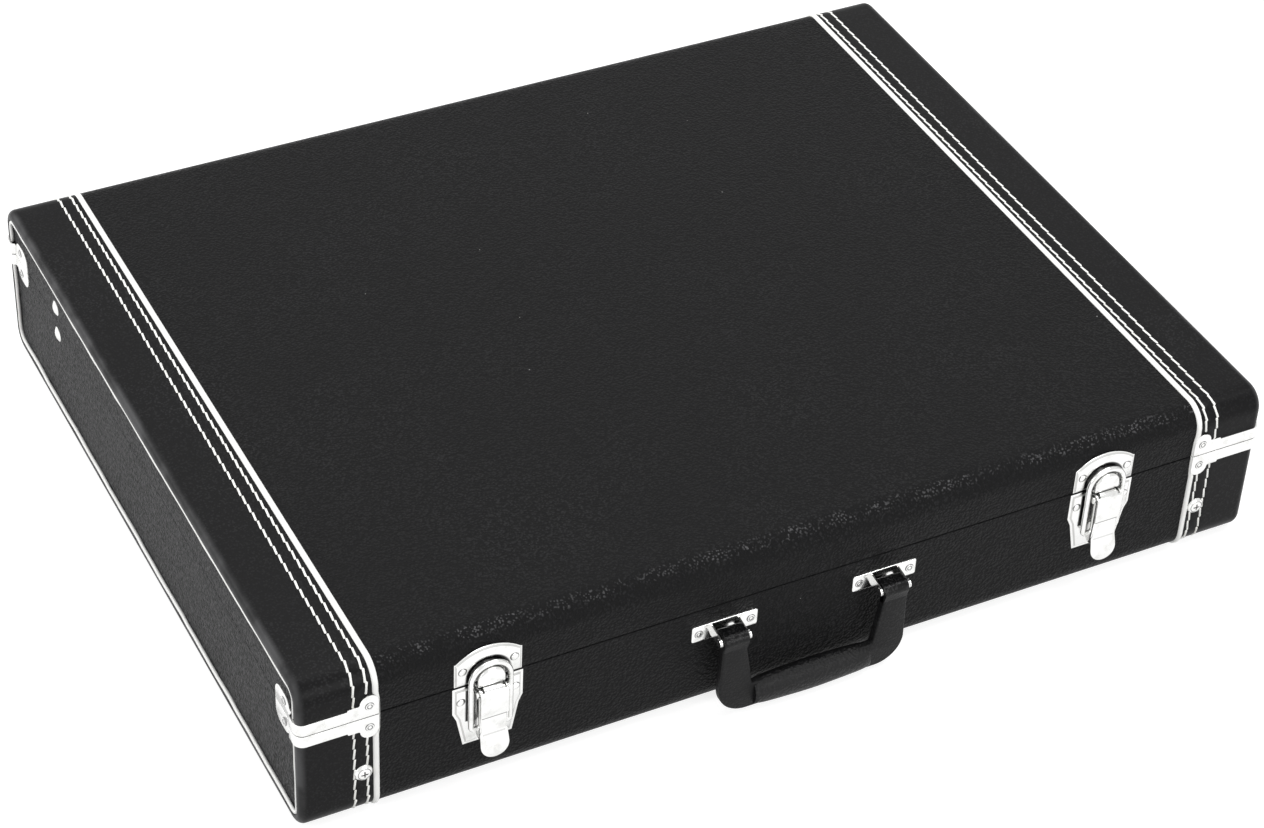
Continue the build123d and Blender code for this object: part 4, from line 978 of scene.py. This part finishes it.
LEVER_T = 1.5 * MM
LEVER_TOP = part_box("latch_lever_left")[1].z
LEVER_OUT = 11.5 * MM
CREASE_STEP = 0.9 * MM
NECK_OUT = 10.4 * MM
TONGUE_Z = 38 * MM
TONGUE_R = 9.5 * MM
TONGUE_OUT = 13.5 * MM
SIDE_WALL_T = 0.9 * MM
SIDE_WALL_BACK = 2.5 * MM
SIDE_WALL_FOOT = 42 * MM
HOOD_HALF = 6.2 * MM
HOOD_R = LEVER_OUT - PIVOT_OUT
HOOD_T = 1.2 * MM
CURL = 1.25
LEVER_EDGE_R = 0.45 * MM
LEVER_CORNER_R = 1 * MM
TONGUE_EDGE_R = 0.4 * MM
WALL_EDGE_R = 0.3 * MM
HOOD_EDGE_R = 0.15 * MM
CREASE_LAP = 1 * MM
BELOW_CREASE = 0.3 * MM
NECK_FLAT, NECK_FLARE = 1 * MM, 3 * MM
WALL_CHAMFER = 3 * MM
BAIL_PIVOT_Z = 48 * MM
BAIL_OUT = 5 * MM


def lever_depth(z):
    """How far out the lever's face stands at a height."""
    if z >= CREASE_Z:
        return LEVER_OUT
    if z >= NECK_Z:
        share = (CREASE_Z - z) / (CREASE_Z - NECK_Z)
        return LEVER_OUT - CREASE_STEP + (NECK_OUT - LEVER_OUT + CREASE_STEP) * share
    share = (NECK_Z - z) / (NECK_Z - TONGUE_Z + TONGUE_R)
    return NECK_OUT + (TONGUE_OUT - NECK_OUT) * math.sin(share * math.pi / 2)


for hand, side in HANDS.items():
    upper_plate = blank(
        [(-LEVER_HALF, CREASE_Z), (LEVER_HALF, CREASE_Z)]
        + arc((LEVER_HALF - LEVER_CORNER_R, LEVER_TOP - LEVER_CORNER_R), LEVER_CORNER_R, 0, 90, 3)
        + arc((LEVER_CORNER_R - LEVER_HALF, LEVER_TOP - LEVER_CORNER_R), LEVER_CORNER_R, 90, 180, 3),
        cuts_y=[PIVOT_Z + (LEVER_TOP - PIVOT_Z) * step / 8 for step in range(8)],
    )
    thicken(upper_plate, LEVER_T, LEVER_EDGE_R, 3)
    for vert in upper_plate.verts:
        reach = vert.co.z + HOOD_R - LEVER_T
        curl = CURL * max(vert.co.y - PIVOT_Z, 0) / HOOD_R
        vert.co.z = PIVOT_OUT + reach * math.cos(curl)
        if curl:
            vert.co.y = PIVOT_Z + reach * math.sin(curl)
    inner = LEVER_HALF - SIDE_WALL_T
    flank = [
        (inner, CREASE_Z + CREASE_LAP),
        (inner, NECK_Z + NECK_FLARE),
        (LEVER_HALF, NECK_Z + NECK_FLAT),
        (LEVER_HALF, NECK_Z - NECK_FLAT),
    ]
    outline = flank[:1] + [(-across, up) for across, up in flank]
    outline += arc((0, TONGUE_Z), TONGUE_R, 180, 360, 24) + flank[:0:-1]
    rows = [NECK_Z - (NECK_Z - TONGUE_Z + TONGUE_R) * step / 10 for step in range(10)]
    tongue = blank(outline, cuts_y=rows + [CREASE_Z - BELOW_CREASE])
    thicken(tongue, LEVER_T, TONGUE_EDGE_R, 3)
    for vert in tongue.verts:
        vert.co.z += lever_depth(min(vert.co.y, CREASE_Z - HAIR)) - LEVER_T
    for end in SIDES:
        top_out, low_out = LEVER_OUT - LEVER_T / 2, NECK_OUT - LEVER_T / 2
        wall = blank([
            (SIDE_WALL_BACK, SIDE_WALL_FOOT + WALL_CHAMFER),
            (SIDE_WALL_BACK + WALL_CHAMFER, SIDE_WALL_FOOT),
            (low_out, SIDE_WALL_FOOT), (low_out, NECK_Z), (top_out, CREASE_Z),
        ] + arc((PIVOT_OUT, PIVOT_Z), top_out - PIVOT_OUT, 0, 180, 12))
        thicken(wall, SIDE_WALL_T, WALL_EDGE_R)
        for vert in wall.verts:
            out, up, across = vert.co
            vert.co = (end * (LEVER_HALF - SIDE_WALL_T + across), up, out)
        join(tongue, wall)
    shell = arc((0, 0), HOOD_R, 20, 150, 14) + arc((0, 0), HOOD_R - HOOD_T, 150, 20, 14)
    hood = blank([(PIVOT_OUT + out, PIVOT_Z + up) for out, up in shell])
    thicken(hood, 2 * HOOD_HALF, HOOD_EDGE_R)
    for vert in hood.verts:
        out, up, across = vert.co
        vert.co = (across - HOOD_HALF, up, out)
    join(tongue, hood)
    join(tongue, upper_plate)
    facing_front(tongue, side * LATCH_X)
    replaced = (f"latch_lever_{hand}",)
    make_piece(f"lever_pressing_{hand}", tongue, lever_nickel, f"lever_{hand}", replaced)

BAIL_R = 1.8 * MM
BAIL_HALF = 13 * MM
BAIL_BEND_R = 2.8 * MM
BAIL_ARCH_R = 12.85 * MM
BAIL_TUCK = 1.85 * MM
BAIL_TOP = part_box("latch_bail_left")[1].z - BAIL_R


def wire_profile(bm, centre, radius, steps=12):
    """A round section that faces along X."""
    rim = arc(centre[1:], radius, 0, 330, steps - 1)
    return closed_loop(bm, [(centre[0], y, z) for y, z in rim])


def quarter_turn(x, z, steps):
    """A quarter turn of the wire about a centre."""
    return {"centre": (x, FACE_Y - BAIL_OUT, z), "axis": (0, 1, 0), "turn": 90, "steps": steps}


for hand, side in HANDS.items():
    x = side * LATCH_X
    inner_end = LEVER_HALF - BAIL_TUCK
    foot, crown = BAIL_HALF - BAIL_BEND_R, BAIL_HALF - BAIL_ARCH_R
    bend_z, arch_z = BAIL_PIVOT_Z + BAIL_BEND_R, BAIL_TOP - BAIL_ARCH_R
    wire = bmesh.new()
    start = wire_profile(wire, (x - inner_end, FACE_Y - BAIL_OUT, BAIL_PIVOT_Z), BAIL_R)
    wire.faces.new([item for item in start if isinstance(item, bmesh.types.BMVert)])
    last = carry(wire, start, [
        {"shift": (inner_end - foot, 0, 0), "steps": 2},
        quarter_turn(x - foot, bend_z, 6),
        {"shift": (0, 0, arch_z - bend_z), "steps": 8},
        quarter_turn(x - crown, arch_z, 12),
        {"shift": (2 * crown, 0, 0), "steps": 1},
        quarter_turn(x + crown, arch_z, 12),
        {"shift": (0, 0, bend_z - arch_z), "steps": 8},
        quarter_turn(x + foot, bend_z, 6),
        {"shift": (inner_end - foot, 0, 0), "steps": 2},
    ])
    bmesh.ops.contextual_create(wire, geom=[item for item in last if isinstance(item, bmesh.types.BMEdge)])
    make_piece(f"wire_bail_{hand}", wire, nickel, f"bail_{hand}", (f"latch_bail_{hand}",))

# The carrying handle
# Two riveted plates with ears hold a pin each. A flat strap, covered in leathercloth, loops over both
# pins, and a padded grip is wrapped and sewn round its middle.

HANDLE_X = 57 * MM
HANDLE_Z = 64 * MM
HANDLE_OUT = 14 * MM
HANDLE_PLATE_W = 46 * MM
HANDLE_PLATE_H = 12.5 * MM
HANDLE_PLATE_R = 1.5 * MM
HANDLE_PLATE_EDGE_R = 0.4 * MM
HANDLE_EAR_X = 9.4 * MM
HANDLE_EAR_R = 3.0 * MM
HANDLE_EAR_T = 1.1 * MM
HANDLE_EAR_LOW = 3.6 * MM
HANDLE_EAR_HIGH = 5.0 * MM

for hand, side in HANDS.items():
    outline = []
    for corner, (across, up) in enumerate(((1, 1), (-1, 1), (-1, -1), (1, -1))):
        x, z = HANDLE_PLATE_W / 2 - HANDLE_PLATE_R, HANDLE_PLATE_H / 2 - HANDLE_PLATE_R
        centre = (across * x, HANDLE_Z + up * z)
        outline += arc(centre, HANDLE_PLATE_R, 90 * corner, 90 * corner + 90, 4)
    plate = blank(outline)
    thicken(plate, PLATE_T, HANDLE_PLATE_EDGE_R, 3)
    for end in SIDES:
        ear(
            plate, end * HANDLE_EAR_X, HANDLE_OUT, HANDLE_Z, HANDLE_EAR_R, HANDLE_EAR_T, HANDLE_EAR_LOW,
            HANDLE_EAR_HIGH,
        )
    facing_front(plate, side * HANDLE_X)
    make_piece(f"handle_bracket_{hand}", plate, nickel, "base", (f"handle_plate_{hand}",))

STRAP_T = 6 * MM
STRAP_EDGE_R = 1.3 * MM
STRAP_TOP_OUTER = HANDLE_X + 8.5 * MM
STRAP_TOP_INNER = HANDLE_X - 8.5 * MM
STRAP_LOW_OUTER = STRAP_TOP_OUTER + 1 * MM
STRAP_LOW_INNER = STRAP_LOW_OUTER - 23 * MM
STRAP_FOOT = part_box("handle_strap")[0].z
STRAP_BAR_TOP = STRAP_FOOT + 19.4 * MM
STRAP_NECK_Z = HANDLE_Z - 9 * MM
STRAP_CORNER_R = 20 * MM
CROTCH_R = 2.4 * MM
EYE_R = 5 * MM
EYE_BACK = 6.2 * MM
EYE_BACK_R = 3.6 * MM
EYE_BACK_DROP = 0.4 * MM
STRAP_FLARE = 0.2 * MM
TUCK_IN = 0.6 * MM
TUCK_TOP, TUCK_FOOT = -3.6 * MM, -9 * MM
LOOP_EDGE_R = 1 * MM
POLISHED_FROM = HANDLE_Z - 3 * MM
POLISHED_TO = HANDLE_Z + 3.5 * MM

strap_cloth = leathercloth("handle_leathercloth", 0.30 * GRAIN_DEPTH, BLACK_WORN, 0.5, 0.16)
polish = strap_cloth.ease(strap_cloth.along("Z"), POLISHED_FROM, POLISHED_TO, 0.5, 0.24)
strap_cloth.wear("Roughness", polish)
grip_cloth = leathercloth("grip_leathercloth", 0.6 * GRAIN_DEPTH, BLACK_WORN, 0.42, 0.2)


def strap_half():
    """The right half of the strap's outline, from the middle of its foot up and back to the middle."""
    points = [(0, STRAP_FOOT)]
    corner = (STRAP_LOW_OUTER - STRAP_CORNER_R, STRAP_FOOT + STRAP_CORNER_R)
    points += arc(corner, STRAP_CORNER_R, -90, -2, 12)
    points += [(STRAP_TOP_OUTER + STRAP_FLARE, STRAP_NECK_Z), (STRAP_TOP_OUTER, HANDLE_Z)]
    points += [(STRAP_TOP_INNER, HANDLE_Z), (STRAP_TOP_INNER, STRAP_NECK_Z)]
    points += arc((STRAP_LOW_INNER - CROTCH_R, STRAP_BAR_TOP + CROTCH_R), CROTCH_R, 0, -90, 4)
    return points + [(0, STRAP_BAR_TOP)]


right = strap_half()
strap = blank(right + [(-x, z) for x, z in right[::-1] if x > 0])
thicken(strap, STRAP_T, STRAP_EDGE_R, 4)
back_rim = [e for e in strap.edges if all(v.co.z < WELD for v in e.verts) and e.calc_face_angle(0) > 1]
round_edges(strap, back_rim, STRAP_EDGE_R, 4)
for vert in strap.verts:
    vert.co.z += HANDLE_OUT - STRAP_T / 2
for side in SIDES:
    loop_outline = arc((0, 0), EYE_R, -20, 85, 12)
    loop_outline += arc((-EYE_BACK, EYE_R - EYE_BACK_R - EYE_BACK_DROP), EYE_BACK_R, 95, 265, 14)
    tucked = STRAP_T / 2 - TUCK_IN
    loop_outline += [(-tucked, TUCK_TOP), (-tucked, TUCK_FOOT), (tucked, TUCK_FOOT)]
    loop_end = blank([(HANDLE_OUT + x, HANDLE_Z + y) for x, y in loop_outline])
    thicken(loop_end, STRAP_TOP_OUTER - STRAP_TOP_INNER, LOOP_EDGE_R, 3)
    for vert in loop_end.verts:
        out, up, across = vert.co
        vert.co = (side * (STRAP_TOP_INNER + across), up, out)
    join(strap, loop_end)
facing_front(strap, 0)
make_piece("strap_loop", strap, strap_cloth, "handle", ("handle_strap",))

GRIP_HALF = 41.5 * MM
GRIP_Z = STRAP_FOOT + 9.7 * MM
GRIP_HALF_H = 11.2 * MM
GRIP_HALF_T = 8 * MM
GRIP_STATIONS = 36
GRIP_SIDES = 28
GRIP_END_INSET, GRIP_END_OUT = 0.8 * MM, 0.5 * MM

grip = bmesh.new()
rings = []
for station in range(GRIP_STATIONS + 1):
    along = -GRIP_HALF + 2 * GRIP_HALF * station / GRIP_STATIONS
    near_end = (abs(along) / GRIP_HALF) ** 10
    swell = 0.95 + 0.05 * math.cos(math.pi * along / GRIP_HALF / 1.1) - 0.13 * near_end
    ring = []
    for step in range(GRIP_SIDES):
        a = 2 * math.pi * step / GRIP_SIDES
        pull = 0.012 * noise.noise(Vector((along * 60, math.cos(a) * 2, math.sin(a) * 2)))
        wide = GRIP_HALF_T * (swell + pull) * math.cos(a)
        tall = GRIP_HALF_H * (swell + pull) * math.copysign(abs(math.sin(a)) ** 0.85, math.sin(a))
        ring.append(grip.verts.new((along, FACE_Y - HANDLE_OUT + wide, GRIP_Z + tall)))
    rings.append(ring)
for ring, following in zip(rings, rings[1:]):
    for step in range(GRIP_SIDES):
        after = (step + 1) % GRIP_SIDES
        grip.faces.new((ring[step], ring[after], following[after], following[step]))
ends = [grip.faces.new(rings[0]), grip.faces.new(rings[-1])]
for end in ends:
    bmesh.ops.inset_region(grip, faces=[end], thickness=GRIP_END_INSET, depth=GRIP_END_OUT)
grip_piece = make_piece("padded_grip", grip, grip_cloth, "handle", ("handle_grip",), 60)

# The lid stays
# A folding stay at each end: two zinc-plated links that lie one above the other in the closed case,
# a stud at their middle, and a rivet through the wall at each far end.

ZINC, ZINC_DULL = (0.62, 0.62, 0.61), (0.47, 0.47, 0.46)
zinc = plated("zinc_plate", ZINC, ZINC_DULL, 0.32)
for hand in HANDS:
    zinc.paint(f"stay_lower_{hand}", f"stay_upper_{hand}", f"stay_stud_{hand}")

# The plush inside
# Black plush over foam: linings glued to the walls, a floor pad, dividers, and a neck rest with
# padded notches that hangs from a cleat in the lid.

PLUSH = (0.020, 0.020, 0.023)
PLUSH_PALE = (0.042, 0.042, 0.047)
NAP_DEPTH = 0.5 * MM
LINING_EDGE_R = 0.6 * MM
NECK_BOARD_EDGE_R = 1.5 * MM
NECK_PAD_EDGE_R = 1.9 * MM
plush = Finish("black_plush", roughness=0.95, specular_ior_level=0.15, sheen_weight=0.5, sheen_roughness=0.4)
nap = plush.cloud(plush.place(), 900, 4.0, 0.7)
brushed = plush.cloud(plush.place((22, 22, 40)), 1.0, 2.0, 0.5, 0.2)
plush.wear("Base Color", plush.shade(plush.ease(brushed, 0.35, 0.7) * nap, PLUSH, PLUSH_PALE))
plush.relief(nap, NAP_DEPTH)


def soft_copy(node, rounding, segments=3):
    """A copy of a foam-backed solid with its edges rounded as cloth rounds them."""
    bm = bmesh.new()
    bm.from_mesh(cad[node].data)
    bmesh.ops.remove_doubles(bm, verts=bm.verts, dist=CAD_WELD)
    bmesh.ops.dissolve_limit(bm, angle_limit=math.radians(1), verts=bm.verts, edges=bm.edges)
    edges = [e for e in bm.edges if e.calc_face_angle(0) > math.radians(40)]
    round_edges(bm, edges, rounding, segments)
    return bm


for part, *_ in HALVES:
    lining = soft_copy(f"{part}_lining", LINING_EDGE_R)
    make_piece(f"{part}_plush_lining", lining, plush, part, (f"{part}_lining",))

BAYS = 6
BAY_CROWN = 1.8 * MM
PAD_EDGE_DROP = 3.4 * MM
SIDE_PULL = 2.2 * MM
DIVIDER_HALF_T = 9 * MM


def padded_block(low, high, cuts):
    """A closed block whose faces are divided finely enough to be crowned."""
    bm = bmesh.new()
    size = high - low
    placed = Matrix.Translation((low + high) / 2) @ Matrix.Diagonal((*size, 1))
    bmesh.ops.create_cube(bm, size=1, matrix=placed)
    for axis, count in enumerate(cuts):
        for step in range(1, count):
            place, facing = Vector(low), Vector((0, 0, 0))
            place[axis] = low[axis] + size[axis] * step / count
            facing[axis] = 1
            bmesh.ops.bisect_plane(bm, geom=whole(bm), plane_co=place, plane_no=facing)
    return bm


pad_low, pad_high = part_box("floor_pad")
walls_low, walls_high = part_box("dividers")
bay_pitch = (walls_high.x - walls_low.x - 2 * DIVIDER_HALF_T) / (BAYS - 2)
floor_pad = padded_block(pad_low, pad_high, (BAYS * 10, 28, 4))
for vert in floor_pad.verts:
    u, v = vert.co.x / pad_high.x, vert.co.y / pad_high.y
    height = (vert.co.z - pad_low.z) / (pad_high.z - pad_low.z)
    in_bay = math.sin(math.pi * (vert.co.x / bay_pitch + BAYS / 2)) ** 2
    crown = BAY_CROWN * in_bay * (1 - v ** 8) * (1 - u ** 40)
    vert.co.z += height * (crown - PAD_EDGE_DROP * max(abs(u) ** 60, abs(v) ** 40))
    vert.co.x -= math.copysign(SIDE_PULL * abs(u) ** 30 * (1 - v * v) * height, u)
    vert.co.y -= math.copysign(SIDE_PULL * abs(v) ** 30 * in_bay * height, v)
pad = make_piece("floor_cushion", floor_pad, plush, "base", ("floor_pad",), 80)

walls = bmesh.new()
for number in range(BAYS - 1):
    middle = (number + 1 - BAYS / 2) * bay_pitch
    low = Vector((middle - DIVIDER_HALF_T, walls_low.y, walls_low.z))
    high = Vector((middle + DIVIDER_HALF_T, walls_high.y, walls_high.z))
    wall = padded_block(low, high, (6, 36, 12))
    for vert in wall.verts:
        u = (vert.co.x - middle) / DIVIDER_HALF_T
        v = 2 * (vert.co.y - low.y) / (high.y - low.y) - 1
        t = (vert.co.z - low.z) / (high.z - low.z)
        crest = math.sqrt(1 - 0.85 * max((t - 0.76) / 0.24, 0) ** 2)
        foot = 0.80 + 0.20 * math.sin(math.pi / 2 * min(t / 0.4, 1))
        ends = 1 - 0.45 * abs(v) ** 14
        vert.co.x = middle + u * DIVIDER_HALF_T * crest * foot * ends
        vert.co.z -= (high.z - low.z) * t * (0.10 * abs(v) ** 16 + 0.03 * u * u)
        vert.co.y -= math.copysign(SIDE_PULL * abs(v) ** 20 * (1 - (2 * t - 1) ** 2), v)
    join(walls, wall)
dividers = make_piece("padded_dividers", walls, plush, "base", ("dividers",), 80)

make_piece("neck_board", soft_copy("neck_rest", NECK_BOARD_EDGE_R), plush, "lid", ("neck_rest",))
pads = soft_copy("neck_pads", NECK_PAD_EDGE_R, 5)
neck = make_piece("neck_cushions", pads, plush, "lid", ("neck_pads",))
plush.paint("neck_cleat")

# The floor, the light and the camera
# A pale floor that stays white to the camera but keeps the shadow and is clear from below, soft boxes
# above, at the left and in front, and a long lens where the photograph was taken from.

FLOOR_Z = -0.4 * MM
FLOOR_HALF = 6
FLOOR_GREY = (0.42, 0.42, 0.42, 1)
FLOOR_GLOW = (0.80, 0.80, 0.80)
SKY_LEVEL, SKY_SEEN = 0.55, 0.45
LIT_POINT = Vector((0, 0, 0.06))
LENS_MM = 94.16
CAMERA_AT = (-0.8288, -1.5583, 1.4553)
CAMERA_TURN = (50.780, -2.1944, -26.625)

floor = bmesh.new()
bmesh.ops.create_grid(floor, x_segments=1, y_segments=1, size=FLOOR_HALF)
floor_mesh = mesh_of("floor", floor)
ground = bpy.data.objects.new("floor", floor_mesh)
bpy.context.scene.collection.objects.link(ground)
ground.location.z = FLOOR_Z
pale = Finish("pale_floor", roughness=0.9, specular_ior_level=0.0)
pale.wear("Base Color", FLOOR_GREY)
pale.wear("Emission Strength", 1.0)
pale.wear("Alpha", 1 - pale.add("ShaderNodeNewGeometry", out="Backfacing"))
rays = pale.add("ShaderNodeLightPath", out="Is Camera Ray")
mirrored = pale.add("ShaderNodeLightPath", out="Is Glossy Ray")
pale.wear("Emission Color", pale.shade(rays + mirrored, (0, 0, 0), FLOOR_GLOW))
floor_mesh.materials.append(pale.material)

world = bpy.data.worlds.new("studio")
bpy.context.scene.world = world
world.use_nodes = True
studio = Nodes(world.node_tree)
sky = studio.tree.nodes["Background"]
sky.inputs["Color"].default_value = (1, 1, 1, 1)
seen = studio.add("ShaderNodeLightPath", out="Is Camera Ray")
mirrored = studio.add("ShaderNodeLightPath", out="Is Glossy Ray")
studio.feed(sky.inputs["Strength"], SKY_LEVEL + SKY_SEEN * seen.maths("MAXIMUM", seen, mirrored))


def soft_box(name, place, size, power):
    """A square lamp that looks at the middle of the case."""
    lamp = bpy.data.lights.new(name, "AREA")
    lamp.size = size
    lamp.energy = power
    holder = bpy.data.objects.new(name, lamp)
    holder.location = place
    aim = LIT_POINT - Vector(place)
    holder.rotation_euler = aim.to_track_quat("-Z", "Y").to_euler()
    bpy.context.scene.collection.objects.link(holder)


soft_box("top_box", (-0.2, 0.5, 2.3), 1.6, 22)
soft_box("edge_box", (0.85, -0.55, 1.9), 0.6, 9)
soft_box("left_box", (-2.2, -0.2, 1.0), 1.2, 14)
soft_box("rim_box", (-1.5, 1.6, 1.0), 0.9, 9)
soft_box("front_box", (0.4, -2.4, 1.0), 1.4, 24)

lens = bpy.data.cameras.new("camera")
lens.sensor_width = 36
lens.lens = LENS_MM
camera = bpy.data.objects.new("camera", lens)
camera.location = CAMERA_AT
camera.rotation_euler = [math.radians(angle) for angle in CAMERA_TURN]
bpy.context.scene.collection.objects.link(camera)
bpy.context.scene.camera = camera
bpy.context.scene.view_settings.view_transform = "Standard"
